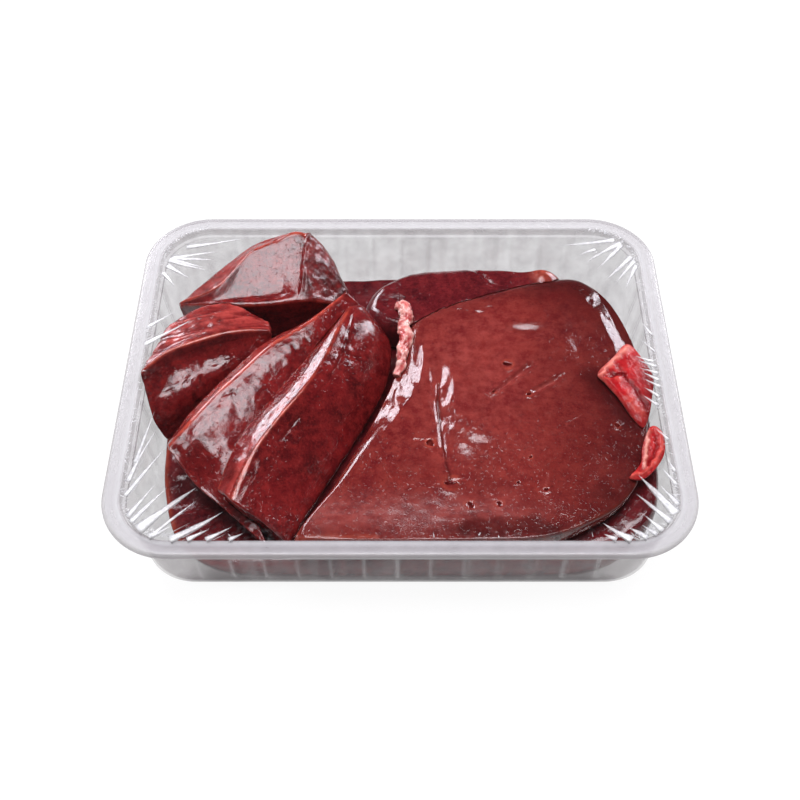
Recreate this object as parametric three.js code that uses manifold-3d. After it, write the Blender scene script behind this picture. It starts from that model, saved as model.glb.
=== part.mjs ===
// Raw liver in a shallow clear tray closed with stretched clear film.
// Millimetres, +Z up, origin at the centre of the flat base, +X along the long side.
import * as THREE from 'three';
import { ConvexGeometry } from 'three/addons/geometries/ConvexGeometry.js';
import { mergeVertices } from 'three/addons/utils/BufferGeometryUtils.js';
import Module from 'manifold-3d';

const wasm = await Module();
wasm.setup();

// ---- tray ----
const TRAY_L = 227, TRAY_W = 179, TRAY_H = 40;   // over the flange
const WALL = 0.8;                                // sheet thickness
const FLANGE = 7.3;                              // width of the flat rim
const RIM_R = 28, MOUTH_R = 20.5, BASE_R = 21;   // plan corner radii
const LIP = 2.2;                                 // turned-down edge below the flange
const LEDGE_Z = 36;                              // small stacking step under the mouth
const INSET_X = 11.6, INSET_Y = 10.4;            // base edge inside the rim edge
const DRAFT_X = 0.118, DRAFT_Y = 0.083;          // wall lean, mm per mm of height
const FILLET = 3.8;                              // round from the base into the wall
const RIB_PITCH = 12.8, RIB_HALF = 1.9, RIB_D = 0.9;
const RIB_LOW = 8, RIB_HIGH = 33.4;
const CORNER_SEGS = 8;
// ---- film ----
const FILM_T = 0.3, FILM_GAP = 0.15, FILM_CLEAR = 0.7;
const FILM_EDGE = 1.4;                           // rim left bare outside the film
const FILM_LIFT = 5;                             // where the film leaves the flange, from the rim edge
// ---- meat ----
const GAP = 0.3;                                 // air between neighbouring pieces
const FLOOR = WALL + 0.35;                       // underside of the lowest piece

const HX = TRAY_L / 2, HY = TRAY_W / 2;
const MX = HX - FLANGE, MY = HY - FLANGE;        // mouth half sizes

// ---------- small tools ----------
const lerp = (a, b, t) => a + (b - a) * t;

function spline(pts, n, closed = false) {        // Catmull-Rom through rows of any width
  const out = [], m = pts.length, spans = closed ? m : m - 1;
  const at = (i) => (closed ? pts[(i + m) % m] : pts[Math.min(Math.max(i, 0), m - 1)]);
  const count = closed ? n : n - 1;
  for (let k = 0; k < n; k++) {
    const u = (k / count) * spans, i = Math.min(Math.floor(u), spans - 1), t = u - i;
    const [a, b, c, d] = [at(i - 1), at(i), at(i + 1), at(i + 2)];
    out.push(b.map((_, j) => 0.5 * (2 * b[j] + (c[j] - a[j]) * t
      + (2 * a[j] - 5 * b[j] + 4 * c[j] - d[j]) * t * t
      + (3 * b[j] - a[j] - 3 * c[j] + d[j]) * t * t * t)));
  }
  return out;
}

function geometryOf(verts, faces) {
  const g = new THREE.BufferGeometry();
  g.setAttribute('position', new THREE.BufferAttribute(new Float32Array(verts.flat()), 3));
  g.setIndex(faces.flat());
  return g;
}

function toSolid(geometry) {
  const g = geometry.clone();
  g.deleteAttribute('normal');
  g.deleteAttribute('uv');
  const m = mergeVertices(g, 1e-4);
  return new wasm.Manifold(new wasm.Mesh({
    numProp: 3,
    vertProperties: new Float32Array(m.attributes.position.array),
    triVerts: new Uint32Array(m.index.array),
  }));
}

function fromSolid(solid) {
  const mesh = solid.getMesh(), verts = [];
  for (let i = 0; i < mesh.vertProperties.length; i += mesh.numProp) {
    verts.push([mesh.vertProperties[i], mesh.vertProperties[i + 1], mesh.vertProperties[i + 2]]);
  }
  const faces = [];
  for (let i = 0; i < mesh.triVerts.length; i += 3) {
    faces.push([mesh.triVerts[i], mesh.triVerts[i + 1], mesh.triVerts[i + 2]]);
  }
  return geometryOf(verts, faces);
}

function largest(solid) {
  const parts = solid.decompose();
  parts.sort((a, b) => b.volume() - a.volume());
  return parts[0];
}

function grown(geometry, d) {                    // the same body with its skin moved outwards
  const g0 = geometry.clone();
  g0.deleteAttribute('normal');
  g0.deleteAttribute('uv');
  const g = mergeVertices(g0, 1e-4);
  g.computeVertexNormals();
  const p = g.attributes.position, n = g.attributes.normal;
  for (let i = 0; i < p.count; i++) {
    p.setXYZ(i, p.getX(i) + n.getX(i) * d, p.getY(i) + n.getY(i) * d, p.getZ(i) + n.getZ(i) * d);
  }
  g.deleteAttribute('normal');
  return g;
}

// ---------- tray ----------
function ring(hx, hy, r, z, ribbed = false) {    // rounded rectangle as [x, y, z, walk]
  const pts = [];
  const sx = [1, -1, -1, 1], sy = [1, 1, -1, -1];
  for (let q = 0; q < 4; q++) {
    const cx = sx[q] * (hx - r), cy = sy[q] * (hy - r);
    for (let i = 0; i <= CORNER_SEGS; i++) {
      const a = (q + i / CORNER_SEGS) * Math.PI / 2;
      pts.push([cx + r * Math.cos(a), cy + r * Math.sin(a), z, q + 0.3 + 0.4 * i / CORNER_SEGS]);
    }
    if (!ribbed) continue;
    const alongX = q % 2 === 0, half = (alongX ? HX : HY) - RIM_R - 2;
    const dir = q === 0 || q === 1 ? -1 : 1, n = Math.floor(half / RIB_PITCH);
    const ref = (alongX ? HX : HY) - RIM_R;
    for (let k = -n; k <= n; k++) {
      for (const [o, d] of [[-RIB_HALF, 0], [-RIB_HALF * 0.5, RIB_D], [RIB_HALF * 0.5, RIB_D], [RIB_HALF, 0]]) {
        const u = k * RIB_PITCH + o, w = q + 0.7 + 0.6 * (u + ref) / (2 * ref);
        pts.push(alongX ? [dir * u, (q === 0 ? 1 : -1) * (hy + d), z, w]
          : [(q === 1 ? -1 : 1) * (hx + d), dir * u, z, w]);
      }
    }
  }
  return pts;
}

function stitched(rings, first, last) {          // skin over rings of unequal counts, closed by two fans
  const verts = [], faces = [], start = [];
  for (const r of rings) {
    start.push(verts.length);
    r.forEach((p) => verts.push(p.slice(0, 3)));
  }
  for (let k = 0; k + 1 < rings.length; k++) {
    const A = rings[k], B = rings[k + 1];
    let i = 0, j = 0;
    while (i < A.length || j < B.length) {
      const a0 = start[k] + (i % A.length), b0 = start[k + 1] + (j % B.length);
      const nextA = i < A.length ? A[(i + 1) % A.length][3] + (i + 1 >= A.length ? 4 : 0) : 1e9;
      const nextB = j < B.length ? B[(j + 1) % B.length][3] + (j + 1 >= B.length ? 4 : 0) : 1e9;
      if (nextA <= nextB) {
        faces.push([a0, start[k] + ((i + 1) % A.length), b0]);
        i++;
      } else {
        faces.push([a0, start[k + 1] + ((j + 1) % B.length), b0]);
        j++;
      }
    }
  }
  for (const [point, k, flip] of [[first, 0, false], [last, rings.length - 1, true]]) {
    const c = verts.push(point) - 1, n = rings[k].length;
    for (let i = 0; i < n; i++) {
      const a = start[k] + i, b = start[k] + ((i + 1) % n);
      faces.push(flip ? [c, a, b] : [c, b, a]);
    }
  }
  return outward(geometryOf(verts, faces));
}

function tray() {
  const bx = HX - INSET_X, by = HY - INSET_Y;
  const wall = (z, inside, ribbed) => {
    const w = inside ? WALL : 0;
    return ring(bx + DRAFT_X * z - w, by + DRAFT_Y * z - w, lerp(BASE_R, MOUTH_R, z / LEDGE_Z) - w, z, ribbed);
  };
  const at = (dx, r, z) => ring(HX - dx, HY - dx, r, z);
  const T = TRAY_H, F = FLANGE, W = WALL;
  const rings = [
    ring(bx - 3.8, by - 3.8, BASE_R - 3.8, W),
    ring(bx - 1.8, by - 1.8, BASE_R - 1.8, W + 0.9),
    wall(FILLET, true, false),
    wall(RIB_LOW, true, true),
    wall(RIB_HIGH, true, true),
    wall(LEDGE_Z - 0.4, true, false),
    at(F, MOUTH_R, LEDGE_Z),
    at(F, MOUTH_R, T - 0.6),
    at(F - 0.6, MOUTH_R + 0.6, T),
    at(1.3, RIM_R - 1.3, T),
    at(0.3, RIM_R - 0.3, T - 0.5),
    at(0, RIM_R, T - 1.2),
    at(0, RIM_R, T - LIP),
    at(W, RIM_R - W, T - LIP),
    at(W + 0.2, RIM_R - W - 0.2, T - 1.1),
    at(F - W - 0.4, MOUTH_R + W + 0.4, T - 0.9),
    at(F - W, MOUTH_R + W, T - 1.3),
    at(F - W, MOUTH_R + W, LEDGE_Z - 0.6),
    wall(LEDGE_Z - 1.2, false, false),
    wall(RIB_HIGH, false, true),
    wall(RIB_LOW, false, true),
    wall(FILLET, false, false),
    ring(bx - 1.0, by - 1.0, BASE_R - 1.0, 1.05),
    ring(bx - 3.4, by - 3.4, BASE_R - 3.4, 0),
  ];
  return stitched(rings, [0, 0, W], [0, 0, 0]);
}

// ---------- meat ----------
const trough = (x, y) => 19 + 0.102 * x + 0.015 * y + 1.5e-4 * x * x;   // top of the bottom slab

// Slab between two height fields, rounded towards its outline.
// outline rows: x, y, height of the edge, width of the round above and of the round below
function pillow({ outline, segs, centre, top, bottom, nTop, nRound, nBottom, lean = 0 }) {
  const rim = spline(outline, segs, true), verts = [], faces = [];
  const put = (x, y, z) => {
    const s = 1 + lean * (z - 10) / 100;
    return verts.push([x * s, y * s, z]) - 1;
  };
  const edge = rim.map(([x, y, z]) => put(x, y, z));
  for (const [field, col, n, up] of [[top, 3, nTop, true], [bottom, 4, nBottom, false]]) {
    let prev = edge;
    const radii = [];
    for (let j = 1; j <= nRound; j++) radii.push(['round', j / nRound]);
    for (let j = 1; j < n; j++) radii.push(['flat', j / n]);
    for (const [kind, t] of radii) {
      const row = rim.map((p) => {
        const dx = centre[0] - p[0], dy = centre[1] - p[1], L = Math.hypot(dx, dy), w = p[col];
        const a = t * Math.PI / 2;
        const d = kind === 'round' ? w * (1 - Math.cos(a)) : lerp(w, L, t);
        const x = p[0] + dx * d / L, y = p[1] + dy * d / L;
        const z = kind === 'round' ? lerp(p[2], field(x, y), Math.sin(a)) : field(x, y);
        return put(x, y, z);
      });
      for (let i = 0; i < segs; i++) {
        const k = (i + 1) % segs;
        const quad = [prev[i], prev[k], row[k], row[i]];
        if (up) faces.push([quad[0], quad[1], quad[2]], [quad[0], quad[2], quad[3]]);
        else faces.push([quad[0], quad[2], quad[1]], [quad[0], quad[3], quad[2]]);
      }
      prev = row;
    }
    const c = put(centre[0], centre[1], field(centre[0], centre[1]));
    for (let i = 0; i < segs; i++) {
      const k = (i + 1) % segs;
      faces.push(up ? [prev[i], prev[k], c] : [prev[k], prev[i], c]);
    }
  }
  return outward(geometryOf(verts, faces));
}

// Slice between rails that run along it; the section at each station is the
// polygon through the rails with its corners rounded.
function slice({ rails, stations, corner = 1.5, steps = 2, bulge = 1.5 }) {
  const R = rails.map((r) => spline(r, stations));
  const sections = [];
  for (let s = 0; s < stations; s++) {
    const poly = R.map((r) => new THREE.Vector3(...r[s])), m = poly.length, pts = [];
    for (let i = 0; i < m; i++) {
      const p = poly[i], a = poly[(i + m - 1) % m], b = poly[(i + 1) % m];
      const la = Math.min(corner, p.distanceTo(a) * 0.4), lb = Math.min(corner, p.distanceTo(b) * 0.4);
      const pa = p.clone().lerp(a, la / Math.max(p.distanceTo(a), 1e-6));
      const pb = p.clone().lerp(b, lb / Math.max(p.distanceTo(b), 1e-6));
      for (let k = 0; k <= steps; k++) {
        const t = k / steps;
        pts.push(pa.clone().multiplyScalar((1 - t) * (1 - t)).addScaledVector(p, 2 * t * (1 - t)).addScaledVector(pb, t * t));
      }
    }
    sections.push(pts);
  }
  const n = sections[0].length, verts = [], faces = [];
  const mean = (pts) => pts.reduce((a, p) => a.add(p), new THREE.Vector3()).divideScalar(pts.length);
  const c0 = mean(sections[0]), c1 = mean(sections[stations - 1]);
  const d0 = c0.clone().sub(mean(sections[1])).normalize();
  const d1 = c1.clone().sub(mean(sections[stations - 2])).normalize();
  const shrink = (pts, c, d) => pts.map((p) => p.clone().lerp(c, 0.16).addScaledVector(d, bulge));
  const all = [shrink(sections[0], c0, d0), ...sections, shrink(sections[stations - 1], c1, d1)];
  all.forEach((sec) => sec.forEach((p) => verts.push([p.x, p.y, p.z])));
  for (let s = 0; s + 1 < all.length; s++) {
    for (let i = 0; i < n; i++) {
      const k = (i + 1) % n, a = s * n + i, b = s * n + k, c = (s + 1) * n + k, d = (s + 1) * n + i;
      faces.push([a, b, c], [a, c, d]);
    }
  }
  const e0 = verts.push(c0.clone().addScaledVector(d0, bulge * 1.2).toArray()) - 1;
  const e1 = verts.push(c1.clone().addScaledVector(d1, bulge * 1.2).toArray()) - 1;
  const base = (all.length - 1) * n;
  for (let i = 0; i < n; i++) {
    const k = (i + 1) % n;
    faces.push([e0, k, i], [e1, base + i, base + k]);
  }
  return outward(geometryOf(verts, faces));
}

// Cord of changing thickness along rows x, y, z, radius; joined end to end when closed.
function cord(path, stations, sides, closed = false) {
  const P = spline(path, stations, closed), verts = [], faces = [];
  const up = new THREE.Vector3(0.12, 0.2, 1).normalize();
  P.forEach((p, s) => {
    const a = P[closed ? (s + stations - 1) % stations : Math.max(s - 1, 0)];
    const b = P[closed ? (s + 1) % stations : Math.min(s + 1, stations - 1)];
    const t = new THREE.Vector3(b[0] - a[0], b[1] - a[1], b[2] - a[2]).normalize();
    const u = new THREE.Vector3().crossVectors(up, t).normalize(), v = new THREE.Vector3().crossVectors(t, u);
    for (let i = 0; i < sides; i++) {
      const w = (i / sides) * Math.PI * 2;
      const c = Math.cos(w) * p[3], d = Math.sin(w) * p[3];
      verts.push([p[0] + u.x * c + v.x * d, p[1] + u.y * c + v.y * d, p[2] + u.z * c + v.z * d]);
    }
  });
  const last = closed ? stations : stations - 1;
  for (let s = 0; s < last; s++) {
    for (let i = 0; i < sides; i++) {
      const k = (i + 1) % sides, a = s * sides, b = ((s + 1) % stations) * sides;
      faces.push([a + i, a + k, b + k], [a + i, b + k, b + i]);
    }
  }
  if (!closed) {
    const e0 = verts.push(P[0].slice(0, 3)) - 1, e1 = verts.push(P[stations - 1].slice(0, 3)) - 1;
    const base = (stations - 1) * sides;
    for (let i = 0; i < sides; i++) {
      const k = (i + 1) % sides;
      faces.push([e0, k, i], [e1, base + i, base + k]);
    }
  }
  return outward(geometryOf(verts, faces));
}

function outward(g) {                            // turn the faces over if the body came out inside out
  const p = g.attributes.position, ix = g.index.array;
  let v = 0;
  const A = new THREE.Vector3(), B = new THREE.Vector3(), C = new THREE.Vector3();
  for (let i = 0; i < ix.length; i += 3) {
    A.fromBufferAttribute(p, ix[i]);
    B.fromBufferAttribute(p, ix[i + 1]);
    C.fromBufferAttribute(p, ix[i + 2]);
    v += A.dot(B.cross(C));
  }
  if (v < 0) {
    for (let i = 0; i < ix.length; i += 3) [ix[i + 1], ix[i + 2]] = [ix[i + 2], ix[i + 1]];
  }
  return g;
}

const baseSlab = () => pillow({
  outline: [
    [-99.5, -18, 8, 6, 6], [-97, -41, 8, 6, 6], [-89, -64, 8, 6, 6], [-72, -74.4, 9, 5, 5], [-40, -76.6, 9, 5, 3.5],
    [0, -77.6, 9, 5, 2.5], [45, -77.6, 11, 5, 2.5], [78, -75.6, 15, 5, 5], [95, -66, 20, 4, 8], [101, -48, 22, 4, 9],
    [101.4, -20, 23, 4, 9], [100.6, 10, 22, 4, 9], [96, 38, 20, 5, 9], [80, 60, 17, 6, 8], [45, 69, 14, 6, 7],
    [0, 72.5, 12, 5, 6], [-45, 73.5, 10, 5, 6], [-80, 66, 8, 6, 6], [-95, 44, 8, 6, 6], [-99.8, 10, 8, 6, 6]],
  segs: 44, centre: [0, -2], nTop: 3, nRound: 2, nBottom: 1, lean: DRAFT_X,
  top: (x, y) => trough(x, y) + 0.35 * Math.sin(x / 17) * Math.cos(y / 14),
  bottom: () => FLOOR,
});

const bigSlab = () => pillow({
  outline: [
    [-40, -77, 30, 6, 5], [-27, -55, 30, 8, 5], [-14, -29, 31, 8, 5], [-5, -8, 32, 8, 5], [1, 12, 32, 7, 5],
    [5, 29, 32, 7, 5], [22, 41, 32.5, 9, 5], [44, 49, 33, 10, 5], [62, 54.5, 33, 10, 5], [79, 56, 33, 9, 5],
    [91, 43, 33, 9, 4], [98.5, 20, 33.5, 8, 3], [101, -2, 34, 6, 3], [99.5, -27, 34, 4, 2.5], [96, -43, 34, 4, 2.5],
    [89.5, -58, 34, 4, 2.5], [76, -70, 33.5, 5, 2.5], [50, -78.6, 33.5, 4, 3], [5, -79.4, 33, 4, 4], [-30, -79, 31, 5, 5]],
  segs: 52, centre: [36, -14], nTop: 4, nRound: 3, nBottom: 1,
  top: (x, y) => {
    const dx = (x - 36) / 66, dy = (y + 14) / 68;
    return 38.4 - 1.5 * (dx * dx + dy * dy) + 0.35 * Math.sin(x / 9 + 1) * Math.sin(y / 11)
      - 1.2 * Math.exp(-((x - 17) ** 2) / 8 - ((y + 30) / 26) ** 4);
  },
  bottom: (x, y) => trough(x, y) + 0.8,
});

const backLobe = () => pillow({
  outline: [
    [-15, 37, 27, 6, 5], [-13, 49, 27, 6, 5], [-4, 57, 28, 7, 5], [10, 62.5, 29, 8, 5], [28, 64, 29, 8, 5],
    [46, 62.5, 30, 7, 5], [58, 61, 32, 5, 4], [68, 60.5, 33, 4, 4], [72, 54, 31, 4, 4], [64, 44, 26, 6, 4],
    [40, 36, 24, 6, 4], [14, 28, 24, 5, 4], [-4, 27, 24, 5, 4]],
  segs: 34, centre: [22, 47], nTop: 3, nRound: 2, nBottom: 1,
  top: (x, y) => 34.6 + 1.4 * Math.cos((x - 20) / 26) + 2.2 * Math.exp(-((x - 64) ** 2 + (y - 58) ** 2) / 26)
    - 0.06 * Math.max(0, -x),
  bottom: (x, y) => trough(x, y) + 0.8,
});

const backWedge = () => slice({
  stations: 13, corner: 2.2,
  rails: [
    [[-96, 42, 32], [-85, 37, 38], [-72, 36.5, 38], [-58, 37, 38], [-46, 38.5, 38.5], [-38, 40, 37.5], [-26, 45, 29]],
    [[-96, 44, 33], [-79, 45, 41.2], [-66, 61, 46], [-55, 67, 47.3], [-45, 71, 48], [-35, 68, 43], [-25, 55, 31]],
    [[-97, 45, 31], [-88, 52, 35.5], [-75, 63, 40], [-64, 70, 43.5], [-45, 74, 46], [-33, 71, 38.5], [-24, 57, 28]],
    [[-93, 44, 17], [-86, 50, 15], [-73, 60, 15], [-62, 67, 16], [-45, 71, 18], [-33, 68, 19], [-25, 56, 20]],
    [[-93, 40, 17], [-84, 37, 13.5], [-72, 37, 13.5], [-58, 38, 14.5], [-45, 39, 15.5], [-36, 41, 17], [-27, 46, 18]]],
});

const leftSlice = () => slice({
  stations: 12, corner: 1.6,
  rails: [
    [[-105, -5.3, 44.8], [-95, 5.6, 44.6], [-77, 14.6, 44], [-66, 18.2, 42.8], [-56, 20, 41]],
    [[-101.5, 10, 42], [-97.5, 24, 40.5], [-85, 36, 39.3], [-72, 38, 38], [-58, 30, 36]],
    [[-98, 12, 13], [-92, 24, 13], [-82, 33, 14], [-70, 34, 15], [-60, 28, 16]],
    [[-97, -18, 13], [-88, -14, 13], [-74, -4, 14.5], [-64, 6, 15.5], [-56, 15, 17]],
    [[-101, -18, 29], [-90, -10, 33], [-77, 1, 33.5], [-66, 9, 33], [-57, 16, 33]],
    [[-103.6, -9, 38.5], [-93.5, 1, 37.4], [-77, 10.4, 37.4], [-66, 15.3, 36.8], [-56.3, 18.6, 37]]],
});

const midSlice = () => slice({
  stations: 14, corner: 1.6,
  rails: [
    [[-24, 41, 42], [-36, 26, 43], [-45, 17.5, 43], [-55, 9, 43], [-65, -3, 42], [-75, -15, 41], [-84, -27, 39], [-92, -36, 35.5]],
    [[-22, 40, 40], [-33, 24, 41.5], [-41, 14, 41.5], [-51, 4, 41.2], [-60, -9, 40.3], [-69, -22, 38.8], [-77, -35, 36.5], [-83.5, -45.5, 30.5]],
    [[-19.5, 39, 38], [-29.5, 22, 39], [-37, 10.5, 39.3], [-46.5, -1.5, 39], [-55, -15, 38.3], [-62.5, -28.5, 36.5], [-69, -43, 33.5], [-72.5, -54.5, 27.5]],
    [[-17, 38, 35], [-26, 20, 36], [-33, 7, 36.5], [-42, -7, 36.5], [-50, -21, 36], [-56, -35, 34], [-60, -50, 31], [-51, -74.5, 27]],
    [[-18, 36, 19], [-26, 18, 18.2], [-33, 5, 17.6], [-42, -8, 16.8], [-50, -22, 16], [-56, -36, 15.3], [-60, -50, 14.8], [-53, -70, 14.6]],
    [[-27, 40, 19], [-39, 27, 17.5], [-48, 20, 16.5], [-58, 11, 15.5], [-69, 0, 14.5], [-78, -12, 13.8], [-84, -23, 13.3], [-86, -31, 13.2]],
    [[-26, 42, 36], [-39, 29, 38], [-48, 22, 38.5], [-58, 14, 38.5], [-69, 2, 37.5], [-79, -11, 36.5], [-87, -22, 35], [-93, -33, 32]]],
});

const frontSlice = () => slice({
  stations: 14, corner: 1.6,
  rails: [
    [[-24, 33, 40.3], [-33, 17, 41], [-42, 2, 41], [-53, -15, 40], [-62, -29, 39], [-68, -43, 37.5], [-71, -55, 36]],
    [[-21.5, 32.5, 41.3], [-26, 19, 43.3], [-31, 2, 44], [-39, -14, 44], [-49, -29, 42.7], [-57, -43, 41], [-64, -62, 37]],
    [[-17, 34.5, 40], [-12.5, 24, 39], [-15, 6, 37], [-22.5, -11, 35.5], [-33, -28, 34], [-42, -45, 33], [-52, -67.5, 31]],
    [[-13, 34.5, 36], [-3.5, 22, 30], [-4.5, 6, 24.5], [-10.5, -10, 22.5], [-20.5, -29, 21.3], [-30, -48, 21.3], [-42, -73.5, 24]],
    [[-16, 30, 19.5], [-8, 20, 19.5], [-9, 5, 19], [-14.5, -10, 18.4], [-24, -29, 17.3], [-33, -48, 16.4], [-44, -71, 15.4]],
    [[-24, 30, 18.5], [-31, 16, 17.6], [-38, 1, 16.8], [-47, -15, 15.8], [-55, -29, 14.9], [-60, -42, 14.4], [-63, -54, 14]]],
});

const leftStrip = () => cord([
  [-1.4, 38, 36.2, 2.2], [1.8, 36, 37.1, 3.1], [2.8, 30.5, 37.2, 2.9], [1.2, 26, 36.8, 2.7], [2.4, 20, 36.6, 3.1],
  [1.4, 13, 36.2, 2.7], [0.4, 6, 35.4, 2.2], [-1.6, 0, 34.4, 1.6]], 12, 8);

const flapTop = (x, y) => 40.5 - 0.003 * (y + 5) ** 2 - 0.16 * Math.max(0, x - 94) + 0.5 * Math.sin(x / 2.6 + y / 5);
const rightFlap = () => pillow({
  outline: [
    [95.7, 14, 38.7, 0.9, 0.9], [88.5, 6, 39, 0.9, 0.9], [81.4, -2.6, 39.3, 0.9, 0.9], [84, -8, 39.2, 0.9, 0.9],
    [88.3, -15, 39.1, 0.9, 0.9], [93, -24.5, 38.2, 0.9, 0.9], [97, -29, 37.4, 0.9, 0.9], [100, -23.5, 38, 0.9, 0.9],
    [102.6, -14, 37.6, 0.9, 0.9], [104.2, -4, 38.5, 0.9, 0.9], [101.3, 6, 38.4, 0.9, 0.9]],
  segs: 26, centre: [93.5, -5], nTop: 2, nRound: 2, nBottom: 2,
  top: flapTop, bottom: (x, y) => flapTop(x, y) - 1.8,
});

const rightLoop = () => pillow({
  outline: [
    [98.6, -30.7, 38, 0.9, 0.9], [101.2, -28.6, 38.2, 0.9, 0.9], [103.8, -31, 38.2, 0.9, 0.9], [104.7, -36, 38.1, 0.9, 0.9],
    [103.2, -43, 37.9, 0.9, 0.9], [98.5, -50, 37.8, 0.9, 0.9], [93.5, -54, 37.7, 0.9, 0.9], [88.7, -53.4, 37.6, 0.9, 0.9],
    [91.2, -50.2, 37.7, 0.9, 0.9], [94, -45.8, 37.8, 0.9, 0.9], [95.3, -39, 37.9, 0.9, 0.9]],
  segs: 26, centre: [98.2, -43.4], nTop: 2, nRound: 2, nBottom: 2,
  top: (x, y) => 38.9 + 0.02 * (y + 44), bottom: (x, y) => 37 + 0.02 * (y + 44),
});

// ---------- film ----------
function film(bodies) {                          // tight skin over the highest points of the pieces
  const z0 = TRAY_H + FILM_GAP + FILM_T;
  const frame = ring(HX - FILM_LIFT, HY - FILM_LIFT, RIM_R - FILM_LIFT, z0);
  const outer = ring(HX - FILM_EDGE, HY - FILM_EDGE, RIM_R - FILM_EDGE, z0);
  const pts = frame.map((p) => new THREE.Vector3(p[0], p[1], z0));
  for (const g of bodies) {
    const p = g.attributes.position;
    for (let i = 0; i < p.count; i++) {
      const v = new THREE.Vector3().fromBufferAttribute(p, i);
      v.z += FILM_CLEAR + FILM_T;
      if (v.z > z0 + 0.4) pts.push(v);
    }
  }
  const hull = new ConvexGeometry(pts), h = hull.attributes.position;
  const verts = [], faces = [], known = new Map();
  const id = (x, y, z) => {
    const key = [x, y, z].map((c) => c.toFixed(3)).join(',');
    if (!known.has(key)) known.set(key, verts.push([x, y, z]) - 1);
    return known.get(key);
  };
  const a = new THREE.Vector3(), b = new THREE.Vector3(), c = new THREE.Vector3();
  for (let i = 0; i < h.count; i += 3) {
    a.fromBufferAttribute(h, i);
    b.fromBufferAttribute(h, i + 1);
    c.fromBufferAttribute(h, i + 2);
    const n = b.clone().sub(a).cross(c.clone().sub(a)).normalize();
    if (n.z > 0.01) faces.push([id(...a.toArray()), id(...b.toArray()), id(...c.toArray())]);
  }
  const inner = frame.map((p) => id(...new THREE.Vector3(p[0], p[1], z0).toArray()));
  const edge = outer.map((p) => id(p[0], p[1], z0));
  const n = inner.length;
  for (let i = 0; i < n; i++) {
    const k = (i + 1) % n;
    faces.push([inner[i], edge[i], edge[k]], [inner[i], edge[k], inner[k]]);
  }
  const m = verts.length, topFaces = faces.slice();
  for (let i = 0; i < m; i++) verts.push([verts[i][0], verts[i][1], verts[i][2] - FILM_T]);
  for (const [i, j, k] of topFaces) faces.push([i + m, k + m, j + m]);
  for (let i = 0; i < n; i++) {
    const k = (i + 1) % n;
    faces.push([edge[i], edge[i] + m, edge[k] + m], [edge[i], edge[k] + m, edge[k]]);
  }
  return geometryOf(verts, faces);
}

// ---------- assembly ----------
const group = new THREE.Group();
function add(name, geometry, color, roughness, extra = {}) {
  const flat = geometry.index ? geometry.toNonIndexed() : geometry;
  flat.computeVertexNormals();
  const mesh = new THREE.Mesh(flat, new THREE.MeshStandardMaterial({ color, roughness, metalness: 0, ...extra }));
  mesh.name = name;
  group.add(mesh);
}

add('tray', tray(), 0xe4e4e6, 0.25);

// Pieces higher in this list keep their full shape; each one below is cut back from them.
const pieces = [
  ['slice_front', frontSlice(), 0x7a2126, 0.3],
  ['slice_mid', midSlice(), 0x7c2529, 0.3],
  ['slice_left', leftSlice(), 0x7e262b, 0.3],
  ['vessel_strip_left', leftStrip(), 0xb24a4a, 0.4],
  ['vessel_flap_right', rightFlap(), 0xb83f48, 0.35],
  ['vessel_loop_right', rightLoop(), 0xb5434a, 0.35],
  ['wedge_back_left', backWedge(), 0x7c2830, 0.3],
  ['liver_slab', bigSlab(), 0x74302f, 0.28],
  ['liver_lobe_back', backLobe(), 0x611c24, 0.3],
  ['liver_base', baseSlab(), 0x521720, 0.35],
];
const done = [];
for (const [name, geometry, color, roughness] of pieces) {
  let solid = toSolid(geometry);
  for (const other of done) solid = solid.subtract(other.keepOut);
  const body = largest(solid);
  const result = fromSolid(body);
  done.push({ keepOut: toSolid(grown(geometry, GAP)) });
  add(name, result, color, roughness);
}
const top = group.children.filter((m) => m.name !== 'tray').map((m) => m.geometry);
add('film', film(top), 0xf2f2f4, 0.15, { transparent: true, opacity: 0.25 });

export default group;
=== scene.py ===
import math
import bpy
import bmesh
import numpy as np
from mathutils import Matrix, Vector


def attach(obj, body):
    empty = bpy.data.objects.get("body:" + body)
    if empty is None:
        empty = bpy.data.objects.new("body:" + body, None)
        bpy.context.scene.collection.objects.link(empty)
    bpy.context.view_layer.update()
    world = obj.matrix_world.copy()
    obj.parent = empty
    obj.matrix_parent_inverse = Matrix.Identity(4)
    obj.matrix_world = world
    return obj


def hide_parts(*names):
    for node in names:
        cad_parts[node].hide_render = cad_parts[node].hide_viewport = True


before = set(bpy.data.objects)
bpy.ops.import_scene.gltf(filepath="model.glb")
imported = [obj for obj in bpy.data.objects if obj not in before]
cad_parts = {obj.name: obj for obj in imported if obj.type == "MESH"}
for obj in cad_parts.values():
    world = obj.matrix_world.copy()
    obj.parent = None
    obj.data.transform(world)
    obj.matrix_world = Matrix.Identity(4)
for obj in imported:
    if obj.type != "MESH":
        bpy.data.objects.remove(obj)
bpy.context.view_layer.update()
MM = 0.001

# ---------------------------------------------------------------- sizes, mm
TRAY_L, TRAY_W, TRAY_H = 227.0, 179.0, 40.0
WALL, FLANGE, LIP, LEDGE_Z = 0.8, 7.3, 2.2, 36.0
RIM_R, MOUTH_R, BASE_R = 28.0, 20.5, 21.0
INSET_X, INSET_Y, DRAFT_X, DRAFT_Y, FILLET = 11.6, 10.4, 0.118, 0.083, 3.8
RIB_PITCH, RIB_HALF, RIB_D, RIB_LOW, RIB_HIGH = 12.8, 1.9, 0.9, 8.0, 33.4
FILM_T, FILM_EDGE, FILM_LIFT = 0.3, 1.4, 5.0
GAP, FLOOR = 0.3, WALL + 0.35
HX, HY = TRAY_L / 2, TRAY_W / 2


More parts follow.
